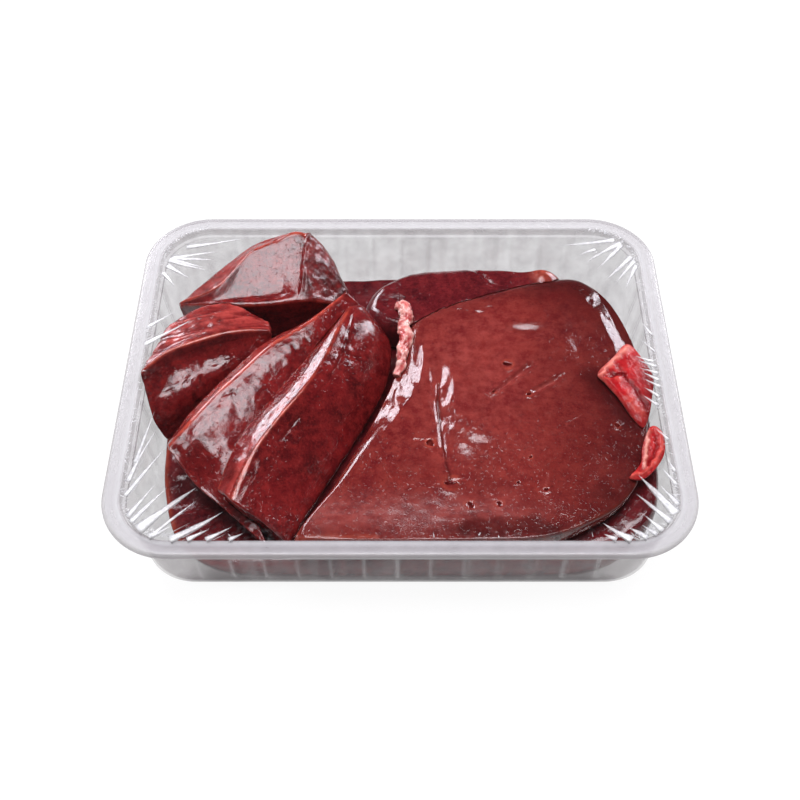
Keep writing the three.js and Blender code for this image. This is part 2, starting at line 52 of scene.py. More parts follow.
# ---------------------------------------------------------------- noise
def _hash(i, j, k, seed):
    u = np.uint32
    n = i.astype(u) * u(374761393) + j.astype(u) * u(668265263) + k.astype(u) * u(2246822519)
    n = n + u((seed * 2654435761) & 0xFFFFFFFF)
    n = (n ^ (n >> u(13))) * u(1274126177)
    n = (n ^ (n >> u(16))) * u(2246822519)
    n = n ^ (n >> u(15))
    return n.astype(np.float64) / 4294967295.0


def noise(P, scale, seed=0):
    """Smooth value noise, about -1 to 1, at rows P (mm)."""
    Q = np.asarray(P, float) / np.asarray(scale, float) + 1000.37
    I = np.floor(Q).astype(np.int64)
    F = Q - I
    F = F * F * F * (F * (F * 6 - 15) + 10)
    out = 0.0
    for dx in (0, 1):
        for dy in (0, 1):
            for dz in (0, 1):
                w = (F[:, 0] if dx else 1 - F[:, 0]) * (F[:, 1] if dy else 1 - F[:, 1]) * (F[:, 2] if dz else 1 - F[:, 2])
                out = out + w * _hash(I[:, 0] + dx, I[:, 1] + dy, I[:, 2] + dz, seed)
    return out * 2 - 1


def fbm(P, scale, octaves=3, seed=0):
    out, a, s = 0.0, 1.0, np.asarray(scale, float)
    for o in range(octaves):
        out = out + a * noise(P, s, seed + 17 * o)
        a, s = a * 0.5, s * 0.5
    return out


def spline(pts, n, closed=False):
    """Catmull-Rom through rows."""
    p = np.asarray(pts, float)
    m = len(p)
    spans = m if closed else m - 1
    u = np.arange(n) / (n if closed else n - 1) * spans
    i = np.minimum(np.floor(u).astype(int), spans - 1)
    t = (u - i)[:, None]

    def at(k):
        return p[k % m] if closed else p[np.clip(k, 0, m - 1)]

    a, b, c, d = at(i - 1), at(i), at(i + 1), at(i + 2)
    return 0.5 * (2 * b + (c - a) * t + (2 * a - 5 * b + 4 * c - d) * t * t + (3 * b - a - 3 * c + d) * t ** 3)


def seg_distance(P, a, b):
    """Distance in plan from rows P to segment a-b, and how far along it."""
    a, b = np.asarray(a, float), np.asarray(b, float)
    d = b - a
    t = np.clip(((P[:, :2] - a) @ d) / (d @ d), 0, 1)
    return np.linalg.norm(P[:, :2] - (a + t[:, None] * d), axis=1), t


def path_distance(P, pts):
    best = np.full(len(P), 1e9)
    for a, b in zip(pts[:-1], pts[1:]):
        best = np.minimum(best, seg_distance(P, a, b)[0])
    return best


# ---------------------------------------------------------------- meshes
def make(name, verts, faces, smooth=True):
    me = bpy.data.meshes.new(name)
    me.from_pydata((np.asarray(verts) * MM).tolist(), [], faces.tolist() if hasattr(faces, "tolist") else faces)
    me.update()
    ob = bpy.data.objects.new(name, me)
    bpy.context.scene.collection.objects.link(ob)
    bm = bmesh.new()
    bm.from_mesh(me)
    if bm.calc_volume(signed=True) < 0:
        bmesh.ops.reverse_faces(bm, faces=bm.faces)
    bm.to_mesh(me)
    bm.free()
    if smooth:
        me.polygons.foreach_set("use_smooth", [True] * len(me.polygons))
    me.update()
    return ob


def coords(ob):
    v = np.empty(len(ob.data.vertices) * 3)
    ob.data.vertices.foreach_get("co", v)
    return v.reshape(-1, 3) / MM


def normals(ob):
    v = np.empty(len(ob.data.vertices) * 3)
    ob.data.vertices.foreach_get("normal", v)
    return v.reshape(-1, 3)


def place(ob, P):
    ob.data.vertices.foreach_set("co", (P * MM).ravel())
    ob.data.update()


def attribute(ob, name, values):
    a = ob.data.attributes.get(name) or ob.data.attributes.new(name, "FLOAT", "POINT")
    a.data.foreach_set("value", np.clip(values, 0, 1).astype(np.float32))


def grid_faces(rows, n):
    """Quads over rows of n points that close round."""
    s = np.arange(rows - 1)[:, None] * n
    i = np.arange(n)[None, :]
    k = (i + 1) % n
    return np.stack([s + i, s + k, s + n + k, s + n + i], -1).reshape(-1, 4)


def cut(ob, keep_outs):
    """Takes the keep-out bodies out of ob and leaves its largest piece."""
    for other in keep_outs:
        m = ob.modifiers.new("cut", "BOOLEAN")
        m.operation = "DIFFERENCE"
        m.solver = "MANIFOLD"
        m.object = other
        dg = bpy.context.evaluated_depsgraph_get()
        me = bpy.data.meshes.new_from_object(ob.evaluated_get(dg), depsgraph=dg)
        ob.modifiers.clear()
        if len(me.polygons):
            ob.data = me
    bm = bmesh.new()
    bm.from_mesh(ob.data)
    bm.verts.ensure_lookup_table()
    seen, groups = set(), []
    for v in bm.verts:
        if v.index in seen:
            continue
        stack, got = [v], []
        seen.add(v.index)
        while stack:
            w = stack.pop()
            got.append(w)
            for e in w.link_edges:
                x = e.other_vert(w)
                if x.index not in seen:
                    seen.add(x.index)
                    stack.append(x)
        groups.append(got)
    groups.sort(key=len)
    loose = [v for g in groups[:-1] for v in g]
    if loose:
        bmesh.ops.delete(bm, geom=loose, context="VERTS")
    bm.to_mesh(ob.data)
    bm.free()
    ob.data.polygons.foreach_set("use_smooth", [True] * len(ob.data.polygons))
    return ob


def grown(ob, d):
    """A copy of ob with its skin moved out by d mm, kept out of sight."""
    c = bpy.data.objects.new(ob.name + "_keepout", ob.data.copy())
    bpy.context.scene.collection.objects.link(c)
    place(c, coords(c) + normals(c) * d)
    return c


# ---------------------------------------------------------------- slices
def loft(rails, corner, bulge=1.5, step=0.85, bow=None):
    """Closed slice between rails. Returns verts, faces, u (0..rails round the section), v, rail points per vertex row."""
    m = len(rails)
    coarse = [spline(r, 60) for r in rails]
    length = max(np.linalg.norm(np.diff(c, axis=0), axis=1).sum() for c in coarse)
    ns = int(length / step) + 1
    R = np.array([spline(r, ns) for r in rails])
    corner = np.broadcast_to(np.asarray(corner, float), (m,))
    parts, us = [], []
    kc = 5
    lens = [np.linalg.norm(R[i] - R[(i + 1) % m], axis=1).max() for i in range(m)]
    pa, pb = [], []
    for i in range(m):
        P, A, B = R[i], R[i - 1], R[(i + 1) % m]
        la, lb = np.linalg.norm(P - A, axis=1), np.linalg.norm(P - B, axis=1)
        pa.append(P + (A - P) * (np.minimum(corner[i], la * 0.4) / np.maximum(la, 1e-6))[:, None])
        pb.append(P + (B - P) * (np.minimum(corner[i], lb * 0.4) / np.maximum(lb, 1e-6))[:, None])
    for i in range(m):
        for k in range(kc):
            t = k / (kc - 1)
            parts.append(pa[i] * (1 - t) ** 2 + R[i] * 2 * t * (1 - t) + pb[i] * t * t)
            us.append(i + 0.02 * (t - 0.5))
        n = max(int(lens[i] / step), 2)
        for k in range(1, n):
            t = k / n
            q = pb[i] * (1 - t) + pa[(i + 1) % m] * t
            parts.append(q)
            us.append(i + t)
    S = np.array(parts).transpose(1, 0, 2)           # stations, section, xyz
    us = np.array(us) % m
    n = S.shape[1]
    c0, c1 = S[0].mean(0), S[-1].mean(0)
    d0 = c0 - S[1].mean(0)
    d1 = c1 - S[-2].mean(0)
    d0, d1 = d0 / np.linalg.norm(d0), d1 / np.linalg.norm(d1)

    def cap(sec, c, d):
        rows = []
        size = np.linalg.norm(sec - c, axis=1).mean()
        for a in np.linspace(0.3, 1.0, 5) * math.pi / 2:
            w = bulge / size
            rows.append(c + (sec - c) * (1 - w * (1 - math.cos(a))) + d * bulge * math.sin(a))
        full = 1 - bulge / size
        k = max(int(size / step / 1.3), 4)
        for t in np.linspace(0, 1, k + 1)[1:-1]:
            rows.append(c + (sec - c) * full * (1 - t) + d * bulge * (1 + 0.15 * t))
        return rows, c + d * bulge * 1.15

    rows0, tip0 = cap(S[0], c0, d0)
    rows1, tip1 = cap(S[-1], c1, d1)
    rows = rows0[::-1] + list(S) + rows1
    V = np.concatenate([np.asarray(rows).reshape(-1, 3), [tip0, tip1]])
    F = grid_faces(len(rows), n).tolist()
    a0, a1, base = len(V) - 2, len(V) - 1, (len(rows) - 1) * n
    for i in range(n):
        k = (i + 1) % n
        F.append([a0, k, i])
        F.append([a1, base + i, base + k])
    st = np.concatenate([np.zeros(len(rows0)), np.arange(len(S)), np.full(len(rows1), len(S) - 1)]).astype(int)
    station = np.concatenate([np.repeat(st, n), [0, len(S) - 1]])
    U = np.concatenate([np.tile(us, len(rows)), [0, 0]])
    Vv = station / (len(S) - 1)
    return V, F, U, Vv, R, station


def rail_distance(V, R, station, which):
    best = np.full(len(V), 1e9)
    for i in which:
        best = np.minimum(best, np.linalg.norm(V - R[i][station], axis=1))
    return best


# ---------------------------------------------------------------- slabs
def trough(x, y):
    return 19 + 0.102 * x + 0.015 * y + 1.5e-4 * x * x


def pillow(outline, segs, centre, top, bottom, n_top, n_round, n_bottom, lean=0.0):
    rim = spline(outline, segs, True)
    V, F = [], []

    def put(x, y, z):
        s = 1 + lean * (z - 10) / 100
        V.append(np.stack([x * s, y * s, z], 1))
        return len(V) - 1

    edge = put(rim[:, 0], rim[:, 1], rim[:, 2])
    depth = [np.zeros(segs)]
    tips = []
    faces = []
    for field, col, n, up in ((top, 3, n_top, True), (bottom, 4, n_bottom, False)):
        prev = edge
        steps = [("round", j / n_round) for j in range(1, n_round + 1)] + [("flat", j / n) for j in range(1, n)]
        for kind, t in steps:
            dx, dy = centre[0] - rim[:, 0], centre[1] - rim[:, 1]
            L, w = np.hypot(dx, dy), rim[:, col]
            a = t * math.pi / 2
            d = w * (1 - math.cos(a)) if kind == "round" else w + (L - w) * t
            x, y = rim[:, 0] + dx * d / L, rim[:, 1] + dy * d / L
            z = rim[:, 2] + (field(x, y) - rim[:, 2]) * math.sin(a) if kind == "round" else field(x, y)
            row = put(x, y, z)
            depth.append(d)
            i = np.arange(segs)
            k = (i + 1) % segs
            q = np.stack([prev * segs + i, prev * segs + k, row * segs + k, row * segs + i], 1)
            faces.append(q if up else q[:, ::-1])
            prev = row
        tips.append((prev, field, up))
    verts = np.concatenate(V)
    dep = np.concatenate(depth)
    F = np.concatenate(faces).tolist()
    for prev, field, up in tips:
        c = len(verts)
        z = float(np.asarray(field(np.array([centre[0]]), np.array([centre[1]]))).ravel()[0])
        s = 1 + lean * (z - 10) / 100
        verts = np.concatenate([verts, [[centre[0] * s, centre[1] * s, z]]])
        dep = np.append(dep, 99.0)
        for i in range(segs):
            a, b = prev * segs + i, prev * segs + (i + 1) % segs
            F.append([a, b, c] if up else [b, a, c])
    return verts, F, dep


def cord(path, stations, sides, closed=False):
    P = spline(path, stations, closed)
    X, r = P[:, :3], P[:, 3]
    if closed:
        T = np.roll(X, -1, 0) - np.roll(X, 1, 0)
    else:
        T = np.gradient(X, axis=0)
    T /= np.linalg.norm(T, axis=1, keepdims=True)
    up = np.array([0.12, 0.2, 1.0])
    up /= np.linalg.norm(up)
    U = np.cross(up, T)
    U /= np.linalg.norm(U, axis=1, keepdims=True)
    W = np.cross(T, U)
    a = np.arange(sides) / sides * 2 * math.pi
    V = X[:, None] + r[:, None, None] * (np.cos(a)[None, :, None] * U[:, None] + np.sin(a)[None, :, None] * W[:, None])
    V = V.reshape(-1, 3)
    F = grid_faces(stations, sides).tolist()
    if closed:
        i = np.arange(sides)
        k = (i + 1) % sides
        b = (stations - 1) * sides
        F += np.stack([b + i, b + k, k, i], 1).tolist()
    else:
        V = np.concatenate([V, [X[0], X[-1]]])
        e0, e1, b = len(V) - 2, len(V) - 1, (stations - 1) * sides
        for i in range(sides):
            k = (i + 1) % sides
            F += [[e0, k, i], [e1, b + i, b + k]]
    return V, F


# ---------------------------------------------------------------- materials
def material(name):
    m = bpy.data.materials.new(name)
    m.use_nodes = True
    nt = m.node_tree
    nt.nodes.clear()
    out = nt.nodes.new("ShaderNodeOutputMaterial")
    return m, nt, out


def node(nt, kind, **values):
    n = nt.nodes.new(kind)
    for k, v in values.items():
        if hasattr(n, k) and k not in n.inputs:
            setattr(n, k, v)
        else:
            n.inputs[k].default_value = v
    return n


def link(nt, a, b):
    nt.links.new(a, b)


def attr(nt, name):
    n = nt.nodes.new("ShaderNodeAttribute")
    n.attribute_name = name
    return n.outputs["Fac"]


def mix(nt, fac, a, b, mode="MIX"):
    n = nt.nodes.new("ShaderNodeMix")
    n.data_type = "RGBA"
    n.blend_type = mode
    for sock, v in ((n.inputs[0], fac), (n.inputs[6], a), (n.inputs[7], b)):
        if isinstance(v, bpy.types.NodeSocket):
            link(nt, v, sock)
        elif isinstance(v, (int, float)):
            sock.default_value = v
        else:
            sock.default_value = (*v, 1.0)
    return n.outputs[2]


def math_node(nt, op, a, b=0.0, clamp=False):
    n = nt.nodes.new("ShaderNodeMath")
    n.operation = op
    n.use_clamp = clamp
    for sock, v in ((n.inputs[0], a), (n.inputs[1], b)):
        if isinstance(v, bpy.types.NodeSocket):
            link(nt, v, sock)
        else:
            sock.default_value = v
    return n.outputs[0]


def ramp(nt, value, lo, hi):
    n = nt.nodes.new("ShaderNodeMapRange")
    n.inputs["From Min"].default_value = lo
    n.inputs["From Max"].default_value = hi
    link(nt, value, n.inputs["Value"])
    return n.outputs["Result"]


def texture(nt, scale_mm, detail=3.0, rough=0.55, stretch=None, distortion=0.0):
    """Noise of about scale_mm, in the object's own coordinates."""
    tc = nt.nodes.new("ShaderNodeTexCoord")
    n = nt.nodes.new("ShaderNodeTexNoise")
    n.inputs["Scale"].default_value = 1.0 / (scale_mm * MM)
    n.inputs["Detail"].default_value = detail
    n.inputs["Roughness"].default_value = rough
    n.inputs["Distortion"].default_value = distortion
    src = tc.outputs["Object"]
    if stretch:
        mp = nt.nodes.new("ShaderNodeMapping")
        mp.inputs["Rotation"].default_value = stretch[0]
        mp.inputs["Scale"].default_value = stretch[1]
        link(nt, src, mp.inputs["Vector"])
        src = mp.outputs["Vector"]
    link(nt, src, n.inputs["Vector"])
    return n.outputs["Fac"]


def srgb(r, g, b):
    return tuple((c / 255 / 12.92) if c / 255 <= 0.04045 else ((c / 255 + 0.055) / 1.055) ** 2.4 for c in (r, g, b))


def liver(name, base, deep, light, pale, edge, speck, rough=(0.2, 0.42), bump=0.25, grain=None, coat=0.35, spec=0.5):
    """Wet liver: two tones of mottle, fine dark specks, paler strips and edges that partly carry painted highlight,
    darkening that partly carries painted shade, uneven gloss.
    """
    m, nt, out = material(name)
    p = nt.nodes.new("ShaderNodeBsdfPrincipled")
    big = texture(nt, 16, 3, 0.6)
    mid = texture(nt, 4.2, 4, 0.62, grain)
    fine = texture(nt, 1.1, 4, 0.7, grain)
    c = mix(nt, ramp(nt, big, 0.36, 0.66), deep, base)
    c = mix(nt, math_node(nt, "MULTIPLY", ramp(nt, mid, 0.42, 0.72), 0.75), c, light)
    c = mix(nt, math_node(nt, "MULTIPLY", ramp(nt, fine, 0.54, 0.70), 0.75), c, speck)
    c = mix(nt, math_node(nt, "MULTIPLY", ramp(nt, fine, 0.46, 0.30), 0.6), c, light)
    # paler where the pale attribute is set: partly the tissue's own paler colour, partly painted highlight
    wob = math_node(nt, "MULTIPLY", ramp(nt, mid, 0.25, 0.6), attr(nt, "pale"))
    c = mix(nt, wob, c, pale)
    # paler orange at ridges and thin edges: partly the tissue's own colour, partly painted light shining through the
    # thin edges
    edgy = math_node(nt, "MULTIPLY", ramp(nt, mid, 0.2, 0.55), attr(nt, "edge"))
    c = mix(nt, edgy, c, edge)
    # darker where the dark attribute is set: painted shade in grooves, cracks, creases and low sides, and darker
    # patches of the tissue itself
    c = mix(nt, attr(nt, "dark"), c, tuple(v * 0.34 for v in deep))
    link(nt, c, p.inputs["Base Color"])
    r = nt.nodes.new("ShaderNodeMapRange")
    r.inputs["From Min"].default_value = 0.3
    r.inputs["From Max"].default_value = 0.7
    r.inputs["To Min"].default_value = rough[0]
    r.inputs["To Max"].default_value = rough[1]
    link(nt, texture(nt, 7, 4, 0.6), r.inputs["Value"])
    dull = math_node(nt, "ADD", r.outputs["Result"], math_node(nt, "MULTIPLY", attr(nt, "dull"), 0.25), True)
    link(nt, dull, p.inputs["Roughness"])
    p.inputs["Coat Weight"].default_value = coat
    p.inputs["Coat Roughness"].default_value = 0.05
    p.inputs["Specular IOR Level"].default_value = spec
    p.inputs["Subsurface Weight"].default_value = 0.12
    p.inputs["Subsurface Radius"].default_value = (0.9, 0.25, 0.15)
    p.inputs["Subsurface Scale"].default_value = 0.0015
    b = nt.nodes.new("ShaderNodeBump")
    b.inputs["Strength"].default_value = bump
    b.inputs["Distance"].default_value = 0.0006
    pores = ramp(nt, texture(nt, 1.2, 2, 0.5), 0.29, 0.38)
    h = math_node(nt, "ADD", math_node(nt, "MULTIPLY", fine, 0.3), math_node(nt, "MULTIPLY", mid, 0.35))
    h = math_node(nt, "ADD", h, math_node(nt, "MULTIPLY", pores, 0.75))
    link(nt, h, b.inputs["Height"])
    link(nt, b.outputs["Normal"], p.inputs["Normal"])
    link(nt, b.outputs["Normal"], p.inputs["Coat Normal"])
    link(nt, p.outputs["BSDF"], out.inputs["Surface"])
    return m


M_CUT = liver("liver_cut_wet", srgb(112, 18, 22), srgb(78, 8, 12), srgb(148, 38, 36), srgb(182, 70, 64),
              srgb(206, 84, 62), srgb(56, 4, 8), (0.06, 0.15), 0.24)
M_SKIN = liver("liver_skin_wet", srgb(126, 38, 34), srgb(104, 20, 23), srgb(144, 53, 45), srgb(172, 80, 74),
               srgb(178, 74, 56), srgb(82, 14, 16), (0.06, 0.14), 0.14)
M_DARK = liver("liver_dark_wet", srgb(98, 18, 25), srgb(68, 8, 16), srgb(122, 34, 37), srgb(150, 60, 56),
               srgb(176, 76, 58), srgb(52, 5, 10), (0.06, 0.16), 0.2)
M_VESSEL = liver("vessel_wet", srgb(186, 22, 30), srgb(150, 8, 18), srgb(206, 48, 48), srgb(236, 112, 98),
                 srgb(246, 190, 172), srgb(140, 8, 18), (0.2, 0.34), 0.1, None, 0.05, 0.16)
M_FAT = liver("vessel_fat_wet", srgb(226, 96, 94), srgb(186, 34, 42), srgb(240, 158, 148), srgb(248, 196, 184),
              srgb(250, 206, 196), srgb(160, 20, 30), (0.16, 0.32), 0.22)


def clear_plastic(name, veil, alpha, rough, extra=None, extra_alpha=0.0, hazy=6.0):
    """See-through sheet: a greyish veil over what lies behind, with its own shine; on the tray also painted light and
    painted shade from its attributes.
    """
    m, nt, out = material(name)
    p = nt.nodes.new("ShaderNodeBsdfPrincipled")
    haze = texture(nt, hazy, 3, 0.5)
    # paler where painted light is set, darker where painted shade is set
    c = mix(nt, attr(nt, "painted_light"), veil, (0.68, 0.672, 0.682)) if extra else veil
    if extra:
        c = mix(nt, attr(nt, "shade"), c, (0.05, 0.05, 0.055))
    if extra:
        link(nt, c, p.inputs["Base Color"])
    else:
        p.inputs["Base Color"].default_value = (*veil, 1)
    a = ramp(nt, haze, 0.3, 0.7)
    a = math_node(nt, "ADD", math_node(nt, "MULTIPLY", a, alpha * 0.3), alpha * 0.85)
    if extra:
        a = math_node(nt, "ADD", a, math_node(nt, "MULTIPLY", attr(nt, extra), extra_alpha), True)
    link(nt, a, p.inputs["Alpha"])
    r = nt.nodes.new("ShaderNodeMapRange")
    r.inputs["To Min"].default_value = rough * 0.7
    r.inputs["To Max"].default_value = rough * 1.4
    link(nt, haze, r.inputs["Value"])
    link(nt, r.outputs["Result"], p.inputs["Roughness"])
    p.inputs["Specular IOR Level"].default_value = 0.6
    link(nt, p.outputs["BSDF"], out.inputs["Surface"])
    return m


M_TRAY = clear_plastic("tray_clear_plastic", (0.25, 0.2, 0.22), 0.26, 0.2, "rim", 0.40)


def film_material():
    m, nt, out = material("film_clear")
    clear = nt.nodes.new("ShaderNodeBsdfTransparent")
    clear.inputs["Color"].default_value = (0.985, 0.985, 0.99, 1)
    p = nt.nodes.new("ShaderNodeBsdfPrincipled")
    p.inputs["Base Color"].default_value = (0.9, 0.9, 0.92, 1)
    p.inputs["Roughness"].default_value = 0.08
    m1 = nt.nodes.new("ShaderNodeMixShader")
    crumple = ramp(nt, texture(nt, 1.6, 3, 0.7), 0.5, 0.75)
    fac = math_node(nt, "ADD", math_node(nt, "MULTIPLY", math_node(nt, "MULTIPLY", attr(nt, "crinkle"), crumple), 0.04), 0.001, True)
    link(nt, fac, m1.inputs["Fac"])
    link(nt, clear.outputs[0], m1.inputs[1])
    link(nt, p.outputs[0], m1.inputs[2])
    link(nt, m1.outputs[0], out.inputs["Surface"])
    return m


M_FILM = film_material()


def pleat_material():
    m, nt, out = material("film_pleat_white")
    p = nt.nodes.new("ShaderNodeBsdfPrincipled")
    streak = texture(nt, 2.2, 3, 0.6)
    # white fold colour: partly the whitened stretched film, partly a painted highlight of the folds catching the light
    c = mix(nt, ramp(nt, streak, 0.3, 0.7), (0.8, 0.8, 0.84), (1.0, 1.0, 1.0))
    link(nt, c, p.inputs["Base Color"])
    a = math_node(nt, "MULTIPLY", attr(nt, "solid"), math_node(nt, "ADD", math_node(nt, "MULTIPLY", ramp(nt, streak, 0.3, 0.7), 0.4), 0.6), True)
    link(nt, a, p.inputs["Alpha"])
    p.inputs["Roughness"].default_value = 0.18
    link(nt, p.outputs["BSDF"], out.inputs["Surface"])
    return m


M_PLEAT = pleat_material()


def finish_piece(ob, mat, nodes):
    ob.data.materials.clear()
    ob.data.materials.append(mat)
    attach(ob, "root")
    if nodes:
        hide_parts(*nodes)


# ---------------------------------------------------------------- liver slices
SLICES = {
    "slice_front": dict(
        corner=[1.5, 1.1, 6, 2.4, 3, 2.5],
        rails=[
            [[-24, 33, 40.3], [-33, 17, 41], [-42, 2, 41], [-53, -15, 40], [-62, -29, 39], [-68, -43, 37.5], [-71, -55, 36]],
            [[-21.5, 32.5, 41.3], [-26, 19, 43.3], [-31, 2, 44], [-39, -14, 44], [-49, -29, 42.7], [-57, -43, 41], [-64, -62, 37]],
            [[-17, 34.5, 40], [-12.5, 24, 39], [-15, 6, 37], [-22.5, -11, 35.5], [-33, -28, 34], [-42, -45, 33], [-52, -67.5, 31]],
            [[-13, 34.5, 36], [-3.5, 22, 30], [-4.5, 6, 24.5], [-10.5, -10, 22.5], [-20.5, -29, 21.3], [-30, -48, 21.3], [-42, -73.5, 24]],
            [[-16, 30, 19.5], [-8, 20, 19.5], [-9, 5, 19], [-14.5, -10, 18.4], [-24, -29, 17.3], [-33, -48, 16.4], [-44, -71, 15.4]],
            [[-24, 30, 18.5], [-31, 16, 17.6], [-38, 1, 16.8], [-47, -15, 15.8], [-55, -29, 14.9], [-60, -42, 14.4], [-63, -54, 14]]]),
    "slice_mid": dict(
        corner=[1.3, 6, 6, 2, 2, 2, 1.4],
        rails=[
            [[-24, 41, 42], [-36, 26, 43], [-45, 17.5, 43], [-55, 9, 43], [-65, -3, 42], [-75, -15, 41], [-84, -27, 39], [-92, -36, 35.5]],
            [[-22, 40, 40], [-33, 24, 41.5], [-41, 14, 41.5], [-51, 4, 41.2], [-60, -9, 40.3], [-69, -22, 38.8], [-77, -35, 36.5], [-83.5, -45.5, 30.5]],
            [[-19.5, 39, 38], [-29.5, 22, 39], [-37, 10.5, 39.3], [-46.5, -1.5, 39], [-55, -15, 38.3], [-62.5, -28.5, 36.5], [-69, -43, 33.5], [-72.5, -54.5, 27.5]],
            [[-17, 38, 35], [-26, 20, 36], [-33, 7, 36.5], [-42, -7, 36.5], [-50, -21, 36], [-56, -35, 34], [-60, -50, 31], [-51, -74.5, 27]],
            [[-18, 36, 19], [-26, 18, 18.2], [-33, 5, 17.6], [-42, -8, 16.8], [-50, -22, 16], [-56, -36, 15.3], [-60, -50, 14.8], [-53, -70, 14.6]],
            [[-27, 40, 19], [-39, 27, 17.5], [-48, 20, 16.5], [-58, 11, 15.5], [-69, 0, 14.5], [-78, -12, 13.8], [-84, -23, 13.3], [-86, -31, 13.2]],
            [[-26, 42, 36], [-39, 29, 38], [-48, 22, 38.5], [-58, 14, 38.5], [-69, 2, 37.5], [-79, -11, 36.5], [-87, -22, 35], [-93, -33, 32]]]),
    "slice_left": dict(
        corner=[1.2, 2.2, 3, 3, 5, 5],
        rails=[
            [[-105, -5.3, 44.8], [-95, 5.6, 44.6], [-77, 14.6, 44], [-66, 18.2, 42.8], [-56, 20, 41]],
            [[-101.5, 10, 42], [-97.5, 24, 40.5], [-85, 36, 39.3], [-72, 38, 38], [-58, 30, 36]],
            [[-98, 12, 13], [-92, 24, 13], [-82, 33, 14], [-70, 34, 15], [-60, 28, 16]],
            [[-97, -18, 13], [-88, -14, 13], [-74, -4, 14.5], [-64, 6, 15.5], [-56, 15, 17]],
            [[-101, -18, 29], [-90, -10, 33], [-77, 1, 33.5], [-66, 9, 33], [-57, 16, 33]],
            [[-103.6, -9, 38.5], [-93.5, 1, 37.4], [-77, 10.4, 37.4], [-66, 15.3, 36.8], [-56.3, 18.6, 37]]]),
    "wedge_back_left": dict(
        corner=[1.3, 1.6, 2.4, 3, 3],
        rails=[
            [[-96, 42, 32], [-85, 37, 38], [-72, 36.5, 38], [-58, 37, 38], [-46, 38.5, 38.5], [-38, 40, 37.5], [-26, 45, 29]],
            [[-96, 44, 33], [-79, 45, 41.2], [-66, 61, 46], [-55, 67, 47.3], [-45, 71, 48], [-35, 68, 43], [-25, 55, 31]],
            [[-97, 45, 31], [-88, 52, 35.5], [-75, 63, 40], [-64, 70, 43.5], [-45, 74, 46], [-33, 71, 38.5], [-24, 57, 28]],
            [[-93, 44, 17], [-86, 50, 15], [-73, 60, 15], [-62, 67, 16], [-45, 71, 18], [-33, 68, 19], [-25, 56, 20]],
            [[-93, 40, 17], [-84, 37, 13.5], [-72, 37, 13.5], [-58, 38, 14.5], [-45, 39, 15.5], [-36, 41, 17], [-27, 46, 18]]]),
}
STEP = 0.8


def fibrous(P, along, seed):
    """Fine streaks that run along a direction in plan."""
    a = np.asarray(along, float) / np.linalg.norm(along)
    Q = np.stack([P[:, 0] * a[0] + P[:, 1] * a[1], -P[:, 0] * a[1] + P[:, 1] * a[0], P[:, 2]], 1)
    return fbm(Q, (14, 1.6, 3.0), 3, seed)


